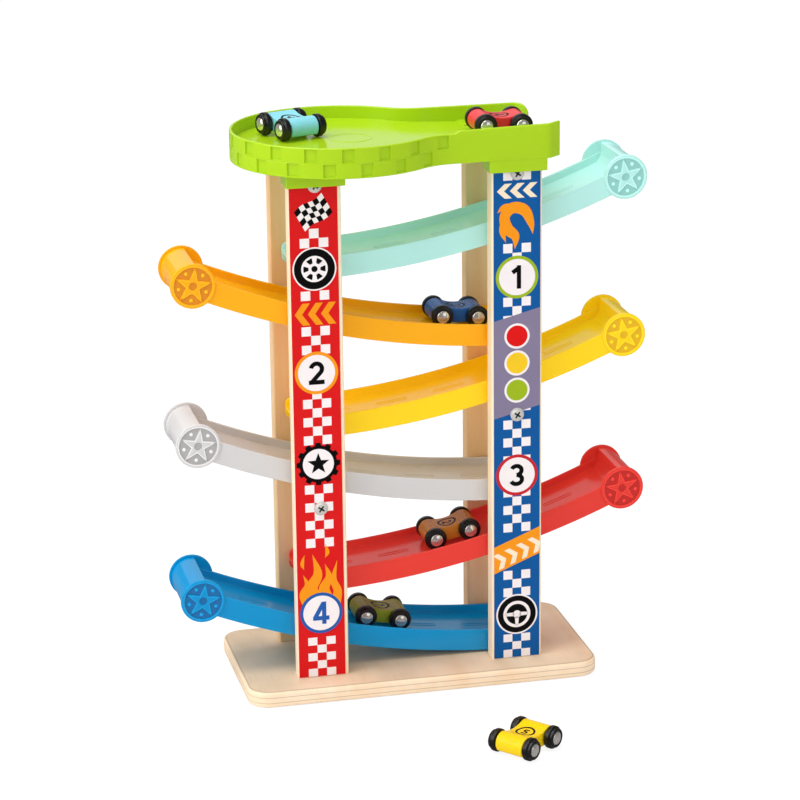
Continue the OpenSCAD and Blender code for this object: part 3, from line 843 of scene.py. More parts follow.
def add_scoop(shape, line):
    """The floor sweeps up in a quarter round to the crest of the roll, where a car is stopped."""
    crest_x = SHELL_R * cos(SHELL_START)
    foot_x = crest_x + SCOOP_R * (1 - sin(CURL_ANGLE))
    foot_z = TRACK_R - FLOOR_R - foot_x * tan(CURL_ANGLE)
    turns = [CURL_ANGLE + (pi / 2 - CURL_ANGLE) * k / 14 for k in range(15)]
    face = [(foot_x + SCOOP_R * (sin(CURL_ANGLE) - sin(a)), foot_z + SCOOP_R * (cos(CURL_ANGLE) - cos(a)))
            for a in turns]
    top = SHELL_R * sin(SHELL_START)
    face += [(crest_x, top - 0.7), (crest_x - 0.2, top - 0.2), (crest_x - 0.7, top)]
    back = [(crest_x - SHELL_T, top - 0.3), (crest_x - SHELL_T, foot_z + SCOOP_R / 2),
            (foot_x - SHELL_T, foot_z - 1)]
    half = DISC_ROOT + 0.3
    shape.loft([[(line.curl_x - line.side * x, y, line.curl_z + z) for x, z in face + back]
                for y in (-half, half)])


def add_pegs(shape, line):
    """Shoulders that keep the track off the posts, one on each wall at both posts."""
    low, high = box_mm("front_left_post")
    gap = -high.y - 0.1
    for post in ("front_left_post", "front_right_post"):
        low, high = box_mm(post)
        spot = Vector(line.at(line.slope_at((low.x + high.x) / 2), TRACK_R, 0))
        for face in FACES.values():
            rows = [(PEG_SHOULDER_R, TRACK_HALF - 1), (PEG_SHOULDER_R, gap - 0.5), (PEG_SHOULDER_R - 0.4, gap)]
            shape.turned(rows, Matrix.Translation(spot) @ face)


lines = {name: TrackLine(name) for name in TRACKS}
print({name: (round(line.curl_x), round(line.curl_z)) for name, line in lines.items()})

# %% [markdown]
# The discs at the rolled end carry a raised five-pointed star. Its outline and the round dimple at
# its middle have equally many points, so that the star is a ring of quads between them. The pockets
# round it lie deeper, and their darker colour is painted shade. Fine raised lines follow the star's
# edges and the rim of the pockets; drawing the same outline in twice gives their two sides.

# %% Discs, stars and pockets
POCKET_R = 13.4
POCKET_FLOOR = 27.7
STAR_TIP = 14
STAR_ROOT = 5.1
STAR_POINTS = 5
STAR_TOP = 28.42
STAR_EDGE = 0.35
STAR_TURN = radians(9)
RIDGE_W = 0.5
RIDGE_H = 0.08
RIDGE_ROOT = 0.2
DIMPLE_R = 2.8
DOT_R = 1.3
DOT_ORBIT = 10.2


def star_outline(tip, root, points=STAR_POINTS, per_edge=6):
    corners = []
    for k in range(2 * points):
        r = tip if k % 2 == 0 else root
        a = pi / 2 + k * pi / points
        corners.append(Vector((r * cos(a), r * sin(a))))
    outline = []
    for k in range(2 * points):
        a, b = corners[k], corners[(k + 1) % (2 * points)]
        outline += [a.lerp(b, j / per_edge) for j in range(per_edge)]
    return outline


def add_disc(shape, place):
    shape.turned([(DISC_R - 0.6, DISC_ROOT), (DISC_R, DISC_ROOT + 0.5), (DISC_R, DISC_FACE - 0.8),
                  (DISC_R - 0.22, DISC_FACE - 0.25), (DISC_R - 0.8, DISC_FACE),
                  (POCKET_R + 0.45, DISC_FACE), (POCKET_R + 0.12, DISC_FACE - 0.12),
                  (POCKET_R, DISC_FACE - 0.4), (POCKET_R, POCKET_FLOOR)], place, steps=72)


def add_star(shape, place):
    star = star_outline(STAR_TIP, STAR_ROOT)
    inner_star = drawn_in(star, STAR_EDGE)
    around = [atan2(p.y, p.x) for p in star]
    root = POCKET_FLOOR - 0.3

    def circle(radius, height):
        return [(radius * cos(a), radius * sin(a), height) for a in around]

    shape.loft([circle(DIMPLE_R, root), circle(DIMPLE_R, STAR_TOP - STAR_EDGE),
                circle(DIMPLE_R + STAR_EDGE, STAR_TOP), [(p.x, p.y, STAR_TOP) for p in inner_star],
                [(p.x, p.y, STAR_TOP - STAR_EDGE) for p in star], [(p.x, p.y, root) for p in star]],
               place, ring=True)


def add_ridges(shape, place):
    """Fine raised lines along the edges of the star and of the pocket."""
    star = drawn_in(star_outline(STAR_TIP - 0.3, STAR_ROOT), STAR_EDGE)
    ridge = drawn_in(star, RIDGE_W)
    root, top = STAR_TOP - RIDGE_ROOT, STAR_TOP + RIDGE_H
    rows = [(star, root), (star, top), (ridge, top), (ridge, root)]
    shape.loft([[(p.x, p.y, h) for p in loop] for loop, h in rows], place, ring=True)
    rim = POCKET_R + 0.5
    root, top = DISC_FACE - RIDGE_ROOT, DISC_FACE + RIDGE_H
    shape.turned([(rim, root), (rim, top), (rim + RIDGE_W, top), (rim + RIDGE_W, root)], place, True, 72)


def dome(radius, height):
    shape = Shape()
    rows = [(radius, -0.2)] + [(radius * cos(a), height * sin(a)) for a in (k * pi / 10 for k in range(5))]
    shape.turned(rows, Matrix.Identity(4), steps=14)
    return shape


def dot_places(line):
    places = []
    for face, turn in ((-1, FRONT_TURN), (1, REAR_TURN)):
        for k in range(STAR_POINTS):
            a = 1.5 * pi + line.side * STAR_TURN + 2 * pi * k / STAR_POINTS
            spot = (line.curl_x + DOT_ORBIT * cos(a), face * POCKET_FLOOR, line.curl_z + DOT_ORBIT * sin(a))
            places.append((spot, turn, UNSTRETCHED))
    return places


print("a star has", len(star_outline(STAR_TIP, STAR_ROOT)), "outline points")

# %% [markdown]
# The rolled shell between the discs follows a rule: a flat strip bent round part of a circle. A node
# tree says just that, with an arc, a rounded rectangle for the section, and inputs for the sizes.
# A second tree lays the slender dashes along the running floor at even steps of slope.

# %% Trees for the rolled shell and the floor dashes
DASH_L = 23
DASH_W = 4.4
DASH_LINE = 0.7
DASH_H = 0.4
DASH_CORNER = 0.7
DASH_CROWN = 0.25
DASHES = 5
FIRST_DASH = radians(3.4)
DASH_STEP = radians(4.1)


def shell_tree():
    net, given = new_tree("rolled_shell", {
        "Radius": "Float", "Thickness": "Float", "Width": "Float", "Start": "Float", "Sweep": "Float",
        "Edge": "Float", "Place": "Vector", "Turn": "Vector", "Finish": "Material"})
    arc = net.node("GeometryNodeCurveArc", {"mode": "RADIUS"}, {
        "Resolution": 64, "Radius": given["Radius"],
        "Start Angle": given["Start"], "Sweep Angle": given["Sweep"]})
    strip = net.node("GeometryNodeCurvePrimitiveQuadrilateral", {}, {
        "Width": given["Thickness"], "Height": given["Width"]})
    strip = net.node("GeometryNodeFilletCurve", {"mode": "POLY"}, {
        "Curve": strip, "Count": 3, "Radius": given["Edge"]})
    rolled = net.node("GeometryNodeCurveToMesh", {}, {
        "Curve": arc, "Profile Curve": strip, "Fill Caps": True})
    placed = net.node("GeometryNodeTransform", {}, {
        "Geometry": rolled, "Translation": given["Place"], "Rotation": given["Turn"]})
    return end_tree(net, placed, given["Finish"])


def dash_tree():
    net, given = new_tree("floor_dashes", {
        "Shape": "Object", "Count": "Int", "First": "Float", "Step": "Float", "Radius": "Float",
        "Side": "Float", "Centre": "Vector", "Finish": "Material"})
    row = net.node("GeometryNodeMeshLine", {}, {"Count": given["Count"]})
    slope = given["First"] + net.node("GeometryNodeInputIndex") * given["Step"]
    swing = given["Side"] * slope
    sine = net.node("ShaderNodeMath", {"operation": "SINE"}, {0: swing})
    cosine = net.node("ShaderNodeMath", {"operation": "COSINE"}, {0: swing})
    spot = net.node("ShaderNodeCombineXYZ", {}, {
        0: sine * given["Radius"], 2: cosine * given["Radius"] * -1.0})
    spot = net.node("ShaderNodeVectorMath", {"operation": "ADD"}, {0: spot, 1: given["Centre"]})
    row = net.node("GeometryNodeSetPosition", {}, {"Geometry": row, "Position": spot})
    turn = net.node("ShaderNodeCombineXYZ", {}, {1: swing * -1.0})
    shape = net.node("GeometryNodeObjectInfo", {}, {"Object": given["Shape"]}, out=4)
    copies = net.node("GeometryNodeInstanceOnPoints", {}, {
        "Points": row, "Instance": shape, "Rotation": turn})
    return end_tree(net, copies, given["Finish"])


def dash_frame():
    """A slender raised frame, low on its outer edge and open in the middle."""
    shape = Shape()
    rows = [(0, -0.2), (0, 0.1), (DASH_CROWN, DASH_H), (DASH_LINE - DASH_CROWN, DASH_H),
            (DASH_LINE, 0.1), (DASH_LINE, -0.2)]
    shape.loft([[(x, y, h) for x, y in round_rectangle(0, 0, DASH_L, DASH_W, DASH_CORNER, inset, 2)]
                for inset, h in rows], ring=True)
    return shape


SHELL_TREE = shell_tree()
DASH_TREE = dash_tree()
dash_model = bpy.data.objects.new("dash_pattern", dash_frame().mesh("dash_pattern"))
scene.collection.objects.link(dash_model)
print(len(SHELL_TREE.nodes), "and", len(DASH_TREE.nodes), "nodes in the two trees")

# %% [markdown]
# Now the six tracks are put together. The moulding, its shell and its dashes share one plastic, the
# pocket floors take a darker tone of painted shade, and the thin ridges and dots a paler one of painted
# highlight. Each plastic also has a faint painted glow.

# %% Six tracks


def make_track(name):
    line = lines[name]
    plastic = track_plastic[name]
    body, shaded_pockets, highlight_ridges = Shape(), Shape(), Shape()
    add_channel(body, line)
    add_floor_end(body, line)
    add_scoop(body, line)
    add_pegs(body, line)
    for side, face in FACES.items():
        place = line.curl() @ face @ Matrix.Rotation(-side * line.side * STAR_TURN, 4, "Z")
        add_disc(body, place)
        add_star(body, place)
        add_ridges(highlight_ridges, place)
        # A thin disc on each pocket floor, in the darker plastic of painted shade
        rows = [(POCKET_R - 0.05, POCKET_FLOOR - 0.2), (POCKET_R - 0.05, POCKET_FLOOR + 0.03)]
        shaded_pockets.turned(rows, place)
    slot = name + "_plastic"
    dress(body.piece(name + "_channel", plastic), "stand", slot, name + "_track")
    dress(shaded_pockets.piece(name + "_pockets", pocket_shade_plastic[name]), "stand", slot)
    dress(highlight_ridges.piece(name + "_ridges", highlight_ridge_plastic[name]), "stand", slot)
    turn = FACE_FRONT if line.side < 0 else FACE_REAR
    shell = run_tree(SHELL_TREE, name + "_shell", bpy.data.meshes.new(name + "_shell"), {
        "Radius": (SHELL_R - SHELL_T / 2) * MM, "Thickness": SHELL_T * MM,
        "Width": 2 * (DISC_ROOT + SHELL_OVERLAP) * MM,
        "Start": SHELL_START, "Sweep": SHELL_SWEEP, "Edge": 0.7 * MM,
        "Place": tuple(line.curl().translation * MM), "Turn": tuple(turn.to_euler()), "Finish": plastic})
    dress(finished(name + "_shell", shell, plastic), "stand", slot)
    dashes = run_tree(DASH_TREE, name + "_dashes", bpy.data.meshes.new(name + "_dashes"), {
        "Shape": dash_model, "Count": DASHES, "First": FIRST_DASH, "Step": DASH_STEP, "Radius": FLOOR_R * MM,
        "Side": float(line.side), "Centre": (line.arc_x * MM, 0, line.arc_z * MM), "Finish": plastic})
    dress(finished(name + "_dashes", dashes, plastic), "stand", slot)
    # The dots are in the paler plastic too, a painted highlight
    dress(set_out(name + "_dots", dome(DOT_R, 0.7), dot_places(line), highlight_ridge_plastic[name]), "stand", slot)
    return len(body.faces)


print({name: make_track(name) for name in TRACKS}, "faces in the channels")
bpy.data.objects.remove(dash_model)

# %% [markdown]
# ## The tray
# The lime tray is a round dish that narrows through a hollow neck into a straight channel, with
# turned-in lips at the open end. Its wall is one section swept along that outline. Two staggered
# rows of shallow notches make the skirt look like courses of bricks, so the section's outer points
# step inwards wherever the path passes a notch.

# %% The tray's outline
TRAY_LOW, TRAY_HIGH = box_mm("top_tray")
DISH_R = 75
DISH_X = TRAY_LOW.x + DISH_R
TRAY_WALL = 2.2
TRAY_H = 21.3
TRAY_BOTTOM = TRAY_HIGH.z - TRAY_H
DISH_DEPTH = 9
FLOOR_Z = TRAY_HIGH.z - DISH_DEPTH
TRAY_FLOOR_T = 2.2
CHANNEL_HALF = 48.3
CHANNEL_END = 95
CHANNEL_SLOPE = radians(2.2)
NECK_X = 27
NECK_R = ((NECK_X - DISH_X) ** 2 + CHANNEL_HALF ** 2 - DISH_R ** 2) / (2 * (DISH_R - CHANNEL_HALF))
NECK_Y = CHANNEL_HALF + NECK_R
JOIN_ANGLE = atan2(NECK_Y, NECK_X - DISH_X)
LIP_BEND = 5
LIP_ANGLE = radians(40)
LIP_L = 9.8
BRICK_PITCH = 26
NOTCH_W = 8
NOTCH_SLOPE = 0.4
NOTCH_DEPTH = 1.3
LAST_NOTCH = 190
GROOVE_DEPTH = 0.2


def notch_centres(row):
    """Distances of a row's notches along the wall from the far left of the dish."""
    return [(k + row / 2 - 0.25) * BRICK_PITCH for k in range(-8, 9)
            if abs((k + row / 2 - 0.25) * BRICK_PITCH) < LAST_NOTCH]


def notch_depth(run, row):
    near = min(abs(run - centre) for centre in notch_centres(row))
    return NOTCH_DEPTH * min(1, max(0, (NOTCH_W / 2 + NOTCH_SLOPE - near) / NOTCH_SLOPE))


def wall_spot(run):
    """Point and outward direction at a distance along the wall, to the front of the far left."""
    dish_run = DISH_R * (pi - JOIN_ANGLE)
    neck_run = NECK_R * (pi / 2 - JOIN_ANGLE)
    side = -1 if run >= 0 else 1
    run = abs(run)
    if run < dish_run:
        a = pi - run / DISH_R
        x, y, nx, ny = DISH_X + DISH_R * cos(a), DISH_R * sin(a), cos(a), sin(a)
    elif run < dish_run + neck_run:
        a = JOIN_ANGLE + (run - dish_run) / NECK_R
        x, y, nx, ny = NECK_X - NECK_R * cos(a), NECK_Y - NECK_R * sin(a), cos(a), sin(a)
    else:
        rest = run - dish_run - neck_run
        straight = CHANNEL_END - TRAY_WALL - NECK_X
        bend = LIP_BEND * LIP_ANGLE
        a = min(max(rest - straight, 0) / LIP_BEND, LIP_ANGLE)
        past = max(rest - straight - bend, 0)
        x = NECK_X + min(rest, straight) + LIP_BEND * sin(a) + past * cos(LIP_ANGLE)
        y = CHANNEL_HALF - LIP_BEND * (1 - cos(a)) - past * sin(LIP_ANGLE)
        nx, ny = sin(a), cos(a)
    return Vector((x, side * y, 0)), Vector((nx, side * ny, 0))


WALL_RUN = (DISH_R * (pi - JOIN_ANGLE) + NECK_R * (pi / 2 - JOIN_ANGLE)
            + CHANNEL_END - TRAY_WALL - NECK_X + LIP_BEND * LIP_ANGLE + LIP_L)
print("the wall is", round(2 * WALL_RUN), "mm long, the neck's radius", round(NECK_R, 1))

# %% [markdown]
# The section has two rows of points that can step in for the bricks, a round rim and a soft lower
# edge. At the rear lip the wall runs down in a quarter round, so the section's height shrinks there,
# and along the channel's front it steps up and grows a little towards the open end.

# %% The tray's wall, floors and collars
BRICK_MARGIN = 0.9
RIM_R = 0.95
REAR_CORNER = 8
FRONT_STEP = 1.8
FRONT_RISE = 1.6
FLOOR_RING_R = 15
FLOOR_RING_X = DISH_X + 10
COLLAR_H = {"left": 10.5, "right": 8.5}
COLLAR_FRONT = 48.05
COLLAR_WALL = 2.2
COLLAR_CLEAR = 0.2


def wall_section(run):
    """Inset from the outer face and height, round the wall at one place along it."""
    row_h = (TRAY_H - 3 * BRICK_MARGIN) / 2
    section = [(0.5, 0), (0.14, 0.14), (0, 0.5)]
    groove = GROOVE_DEPTH * min(1, max(0, (LAST_NOTCH + NOTCH_W - abs(run)) / NOTCH_W))
    for row in (0, 1):
        start = BRICK_MARGIN + row * (row_h + BRICK_MARGIN)
        depth = notch_depth(run, row)
        section += [(0, start), (depth, start + 0.4), (depth, start + row_h - 0.4), (0, start + row_h)]
        if row == 0:
            section.append((groove, start + row_h + BRICK_MARGIN / 2))
    for k in range(1, 6):
        a = pi / 2 * k / 5
        section.append((RIM_R * (1 - cos(a)), TRAY_H - RIM_R + RIM_R * sin(a)))
    for k in range(5):
        a = pi / 2 * k / 5
        section.append((TRAY_WALL - RIM_R * (1 - sin(a)), TRAY_H - RIM_R + RIM_R * cos(a)))
    section += [(TRAY_WALL, TRAY_H - RIM_R), (TRAY_WALL, 0.5), (TRAY_WALL - 0.5, 0)]
    left = max(0, REAR_CORNER - (WALL_RUN + run))
    drop = REAR_CORNER - sqrt(REAR_CORNER ** 2 - min(left, REAR_CORNER * 0.97) ** 2)
    past = max(0, wall_spot(run)[0].x - NECK_X) if run > 0 else 0
    rise = FRONT_STEP * min(1, past / FRONT_STEP) + FRONT_RISE * min(1, past / (CHANNEL_END - NECK_X))
    height = 1 + (rise - drop) / TRAY_H
    return [(inset, up * height) for inset, up in section]


def wall_runs():
    """Places along the wall: even steps, and both edges of every notch."""
    count = 260
    runs = [-WALL_RUN + 2 * WALL_RUN * k / count for k in range(count + 1)]
    runs += [-WALL_RUN + REAR_CORNER * (k / 12) ** 2 for k in range(1, 12)]
    for row in (0, 1):
        for centre in notch_centres(row):
            runs += [centre + s * (NOTCH_W / 2 + d) for s in (-1, 1) for d in (0, NOTCH_SLOPE)]
    runs = sorted(runs)
    return [run for k, run in enumerate(runs) if k == 0 or run - runs[k - 1] > 0.02]


def add_tray_wall(shape):
    loops = []
    for run in wall_runs():
        spot, out = wall_spot(run)
        loops.append([spot - inset * out + Vector((0, 0, TRAY_BOTTOM + up))
                      for inset, up in wall_section(run)])
    shape.loft(loops)


def half_width(x):
    """Half of the floor's width, which ends inside the wall's thickness."""
    inset = TRAY_WALL / 2
    if x >= NECK_X:
        return CHANNEL_HALF - inset
    if x > DISH_X + DISH_R * cos(JOIN_ANGLE):
        return NECK_Y - sqrt((NECK_R + inset) ** 2 - (x - NECK_X) ** 2)
    return sqrt(max(0.04, (DISH_R - inset) ** 2 - (x - DISH_X) ** 2))


def add_floor(shape, start, end, slope):
    """A flat floor between two distances, level or sloping down from the middle of the toy."""
    steps = 60
    xs = [start + (end - start) * (1 - cos(pi * k / steps)) / 2 for k in range(steps + 1)]
    edge = [(x, -half_width(x)) for x in xs] + [(x, half_width(x)) for x in reversed(xs)]
    shape.loft([[(x, y, FLOOR_Z - drop - max(0, x) * tan(slope)) for x, y in edge]
                for drop in (0, TRAY_FLOOR_T)])


def add_collar(shape, depth, side):
    low, high = box_mm(f"{depth}_{side}_post")
    face = 1 if low.y > 0 else -1
    middle_x = (low.x + high.x) / 2
    bottom = TRAY_BOTTOM - COLLAR_H[side]
    inner_y = min(abs(low.y), abs(high.y)) - COLLAR_CLEAR

    def loop(margin, height):
        width = high.x - low.x + 2 * (COLLAR_CLEAR + margin)
        near, far = inner_y - margin, COLLAR_FRONT - COLLAR_WALL + margin
        outline = round_rectangle(middle_x, face * (near + far) / 2, width, far - near, 0.9)
        return [(x, y, height) for x, y in outline]

    top = FLOOR_Z - TRAY_FLOOR_T / 2
    shape.loft([loop(COLLAR_WALL - 0.5, top), loop(COLLAR_WALL - 0.14, top - 0.14),
                loop(COLLAR_WALL, top - 0.5), loop(COLLAR_WALL, bottom + 0.5),
                loop(COLLAR_WALL - 0.15, bottom + 0.14), loop(COLLAR_WALL - 0.5, bottom), loop(0.3, bottom),
                loop(0, bottom + 0.4), loop(0, high.z)])


def add_floor_ring(shape):
    place = Matrix.Translation((FLOOR_RING_X, 0, FLOOR_Z))
    rows = [(1.4, -0.3), (1.4, 0.12), (1.05, 0.3), (0.35, 0.3), (0, 0.12), (0, -0.3)]
    shape.turned([(FLOOR_RING_R - inset, up) for inset, up in rows], place, ring=True, steps=72)


tray = Shape()
add_tray_wall(tray)
add_floor(tray, DISH_X - DISH_R + TRAY_WALL / 2, 0, 0)
add_floor(tray, 0, CHANNEL_END, CHANNEL_SLOPE)
add_floor_ring(tray)
for depth, side in POSTS:
    add_collar(tray, depth, side)
dress(tray.piece("tray", lime_plastic), "stand", "lime_plastic", "top_tray")
print(len(tray.faces), "faces in the tray")

# %% [markdown]
# ## The stickers
# A red and a blue sticker run up the two front posts. The print is built as very thin plates, one
# layer over the next, because plates stay crisp at any distance. The squares down the middle
# repeat, so they are set out by the node tree. The signs are plain ones: numbers in rounds, signal
# lights, arrow heads, a tyre, a wheel, a star and simple flames.

# %% Sheets and squares
INK_STEP = 0.03
SQUARE = 6.7
LAST_SQUARE = 6.0
BOARD_TOP = BASE_HIGH.z / MM
STICKERS = {"left": "front_left_decal", "right": "front_right_decal"}
# Each run of squares: height of its top above the board, rows, whether a single square comes first, and
# how high one square is
SQUARE_RUNS = {
    "left": [(369.2, 1, False, SQUARE), (332, 2, True, SQUARE), (287.7, 1, False, SQUARE),
             (262.1, 3, False, SQUARE), (216, 6, True, SQUARE), (146, 7, False, SQUARE),
             (30.6, 5, False, LAST_SQUARE)],
    "right": [(364, 1, False, SQUARE), (311.9, 2, False, SQUARE), (273, 3, False, SQUARE),
              (195.6, 7, False, SQUARE), (131.1, 5, False, SQUARE), (67.9, 3, False, SQUARE),
              (24.6, 4, True, LAST_SQUARE)],
}


class Sticker:
    """One sticker: its box, and the plates of each ink."""

    def __init__(self, side):
        self.side = side
        self.low, self.high = box_mm(STICKERS[side])
        self.middle = (self.low.x + self.high.x) / 2
        self.plates = {}

    def plate(self, colour, outline, layer):
        """A thin plate of ink; outline is in millimetres from the sticker's middle and the board's top."""
        shape = self.plates.setdefault(colour, Shape())
        back, front = self.low.y + INK_STEP / 2, self.low.y - layer * INK_STEP
        shape.loft([[(self.middle + x, y, BOARD_TOP + z) for x, z in outline] for y in (back, front)])

    def band(self, colour, outlines, layer):
        """A ring of ink between two outlines of equally many points."""
        shape = self.plates.setdefault(colour, Shape())
        back, front = self.low.y + INK_STEP / 2, self.low.y - layer * INK_STEP
        rows = [(outlines[0], back), (outlines[0], front), (outlines[1], front), (outlines[1], back)]
        shape.loft([[(self.middle + x, y, BOARD_TOP + z) for x, z in loop] for loop, y in rows], ring=True)

    def squares(self):
        places = []
        for top, rows, single_first, step in SQUARE_RUNS[self.side]:
            for row in range(rows):
                single = (row % 2 == 0) == single_first
                for column in ((0,) if single else (-1, 1)):
                    spot = (self.middle + column * SQUARE, self.low.y, BOARD_TOP + top - (row + 0.5) * step)
                    places.append((spot, FRONT_TURN, (1, step / SQUARE, 1)))
        return places


def square_tile():
    shape = Shape()
    outline = round_rectangle(0, 0, SQUARE, SQUARE, 0.12, 0, 1)
    shape.loft([[(x, y, h) for x, y in outline] for h in (-INK_STEP / 2, INK_STEP)])
    return shape


def sheet(side):
    low, high = box_mm(STICKERS[side])
    outline = round_rectangle((low.x + high.x) / 2, (low.z + high.z) / 2, high.x - low.x, high.z - low.z, 0.5)
    shape = Shape()
    shape.loft([[(x, y, z) for x, z in outline] for y in (high.y, low.y)])
    return shape


stickers = {side: Sticker(side) for side in STICKERS}
for side, sticker in stickers.items():
    colour = {"left": "red", "right": "blue"}[side]
    slot = colour + "_print"
    dress(sheet(side).piece(side + "_sheet", ink[colour]), "stand", slot, STICKERS[side])
    dress(set_out(side + "_squares", square_tile(), sticker.squares(), ink["white"]), "stand", slot)
print({side: len(sticker.squares()) for side, sticker in stickers.items()}, "squares")

# %% [markdown]
# Numbers are drawn the way a sign painter does it: each is a few brush strokes of even width along a
# path. A font would give them too, but strokes can be as bold as wanted and can follow the hollow
# back of a car. Strokes that cross lie one layer apart, so that no two faces share a place.

# %% Strokes and numbers
ROUND_R = 15.5
ROUND_LINE = 2.3
NUMBER_H = 17
STROKE = 0.185


def circle(x, z, radius, count=64):
    angles = [2 * pi * k / count for k in range(count)]
    return [(x + radius * cos(a), z + radius * sin(a)) for a in angles]


def shifted(outline, x, z, turn=0):
    c, s = cos(turn), sin(turn)
    return [(x + px * c - pz * s, z + px * s + pz * c) for px, pz in outline]


def sweep(x, z, half_w, half_h, start, end, count=24):
    """Points round part of an oval, between two angles in degrees."""
    angles = [radians(start + (end - start) * k / count) for k in range(count + 1)]
    return [(x + half_w * cos(a), z + half_h * sin(a)) for a in angles]


# The strokes of each number that is used, for a number of height 1
NUMBERS = {
    "1": [[(0.08, 0), (0.08, 1)], [(0.1, 0.9), (-0.2, 0.7)]],
    "2": [sweep(0, 0.67, 0.23, 0.23, 170, -38) + [(-0.2, 0.12)], [(-0.33, 0.1), (0.33, 0.1)]],
    "3": [sweep(-0.02, 0.7, 0.22, 0.2, 155, -90), sweep(-0.02, 0.3, 0.24, 0.2, 90, -160)],
    "4": [[(0.12, 0), (0.12, 1)], [(0.09, 0.94), (-0.26, 0.32)], [(-0.36, 0.27), (0.34, 0.27)]],
    "5": [[(-0.24, 0.9), (0.27, 0.9)], [(-0.16, 0.92), (-0.22, 0.5)],
          sweep(-0.01, 0.33, 0.24, 0.23, 125, -155)],
    "6": [sweep(0, 0.32, 0.23, 0.22, 0, 360), sweep(0.06, 0.42, 0.29, 0.48, 62, 190)],
}


def fine(path, step):
    """The same path with points at short steps."""
    result = [Vector(path[0])]
    for a, b in zip(path, path[1:]):
        count = max(1, round((Vector(b) - Vector(a)).length / step))
        result += [Vector(a).lerp(Vector(b), k / count) for k in range(1, count + 1)]
    return result


def stroke_sides(path, width):
    """Pairs of points to the left and to the right of a path."""
    pairs = []
    for k, here in enumerate(path):
        steps = [b - a for a, b in zip(path[max(k - 1, 0):k + 2], path[max(k, 1):k + 2])]
        along = sum((s.normalized() for s in steps), Vector((0, 0))).normalized()
        reach = width / 2 / max(0.5, along.dot(steps[0].normalized()))
        pairs.append((here + reach * Vector((-along.y, along.x)), here - reach * Vector((-along.y, along.x))))
    return pairs


def add_number(shape, text, height, lay):
    """Adds a number's strokes; lay gives the place of a flat point on a layer, counted from 0 below."""
    for layer, path in enumerate(NUMBERS[text], 1):
        loops = []
        for left, right in stroke_sides(fine(path, 0.05), STROKE):
            left, right = left - Vector((0, 0.5)), right - Vector((0, 0.5))
            corners = ((left, 0), (right, 0), (right, layer), (left, layer))
            loops.append([lay(p * height, k) for p, k in corners])
        shape.loft(loops)


print({text: len(paths) for text, paths in NUMBERS.items()}, "strokes")

# %% [markdown]
# The other signs are outlines. Flames and curls are tapering ribbons along a smooth line through a few
# points, each with its width there.

# %% Signs on the stickers


def add_number_round(sticker, text, z, rim, colour="black", layer=2):
    sticker.plate(rim, circle(0, z, ROUND_R), layer)
    sticker.plate("white", circle(0, z, ROUND_R - ROUND_LINE), layer + 1)

    def lay(point, up):
        depth = sticker.low.y - (layer + 1 + up) * INK_STEP
        return sticker.middle + point.x, depth, BOARD_TOP + z + point.y

    add_number(sticker.plates.setdefault(colour, Shape()), text, NUMBER_H, lay)


def arrow_head(reach, thick, height):
    """An arrow head that points to the left, with its tip at the origin."""
    half = height / 2
    return [(0, 0), (reach, -half), (reach + thick, -half), (thick, 0), (reach + thick, half), (reach, half)]


def add_arrows(sticker, colour, z, height, layer=2):
    for k in range(3):
        sticker.plate(colour, shifted(arrow_head(5.6, 5.2, height), -14.6 + 9.3 * k, z), layer)


def add_tyre(sticker, z):
    sticker.plate("white", circle(0, z, ROUND_R), 2)
    sticker.band("black", (circle(0, z, ROUND_R - 1), circle(0, z, 9.4)), 3)
    sticker.plate("black", circle(0, z, 2.2), 3)
    for k in range(6):
        wedge = [(4.2, -1), (7.8, -2.4), (7.8, 2.4), (4.2, 1)]
        sticker.plate("black", shifted(rounded(wedge, 0.5), 0, z, pi * k / 3), 3)


def add_gear_star(sticker, z):
    teeth = []
    for k in range(12):
        a = 2 * pi * k / 12
        for r, d in ((13.6, -0.16), (15.8, -0.11), (15.8, 0.11), (13.6, 0.16)):
            teeth.append((r * cos(a + d), z + r * sin(a + d)))
    sticker.plate("black", teeth, 2)
    sticker.plate("white", circle(0, z, 11.2), 3)
    sticker.plate("black", [(p.x, z + p.y) for p in star_outline(8.2, 3.4, 5, 1)], 4)


def add_wheel_round(sticker, z):
    sticker.plate("white", circle(0, z, ROUND_R), 2)
    sticker.plate("black", circle(0, z, ROUND_R - 1.2), 3)
    sticker.band("white", (circle(0, z, 10.2), circle(0, z, 7.9)), 4)
    sticker.plate("white", circle(0, z, 2.9), 4)
    for turn in (0, pi, 1.5 * pi):
        spoke = [(2.2, -1.5), (8.4, -1.1), (8.4, 1.1), (2.2, 1.5)]
        sticker.plate("white", shifted(spoke, 0, z, turn), 4)


def add_light(sticker, colour, z):
    sticker.plate("white", circle(0, z, 9.3), 3)
    sticker.plate(colour, circle(0, z, 7.7), 4)


def tongue(stops, count=7):
    """A ribbon along a smooth line; a stop is its place across, its height and the ribbon's width."""
    stops = [Vector(stop) for stop in stops]
    stops = [2 * stops[0] - stops[1]] + stops + [2 * stops[-1] - stops[-2]]
    line = []
    for a, b, c, d in zip(stops, stops[1:], stops[2:], stops[3:]):
        for t in (k / count for k in range(count)):
            line.append(b + t / 2 * (c - a + t * (2 * a - 5 * b + 4 * c - d + t * (3 * b - a - 3 * c + d))))
    line.append(stops[-2])
    sides = ([], [])
    for k, here in enumerate(line):
        ahead = line[min(k + 1, len(line) - 1)] - line[max(k - 1, 0)]
        across = Vector((-ahead.y, ahead.x)).normalized() * max(here.z, 0.15) / 2
        sides[0].append((here.x + across.x, here.y + across.y))
        sides[1].append((here.x - across.x, here.y - across.y))
    return sides[0] + sides[1][::-1]


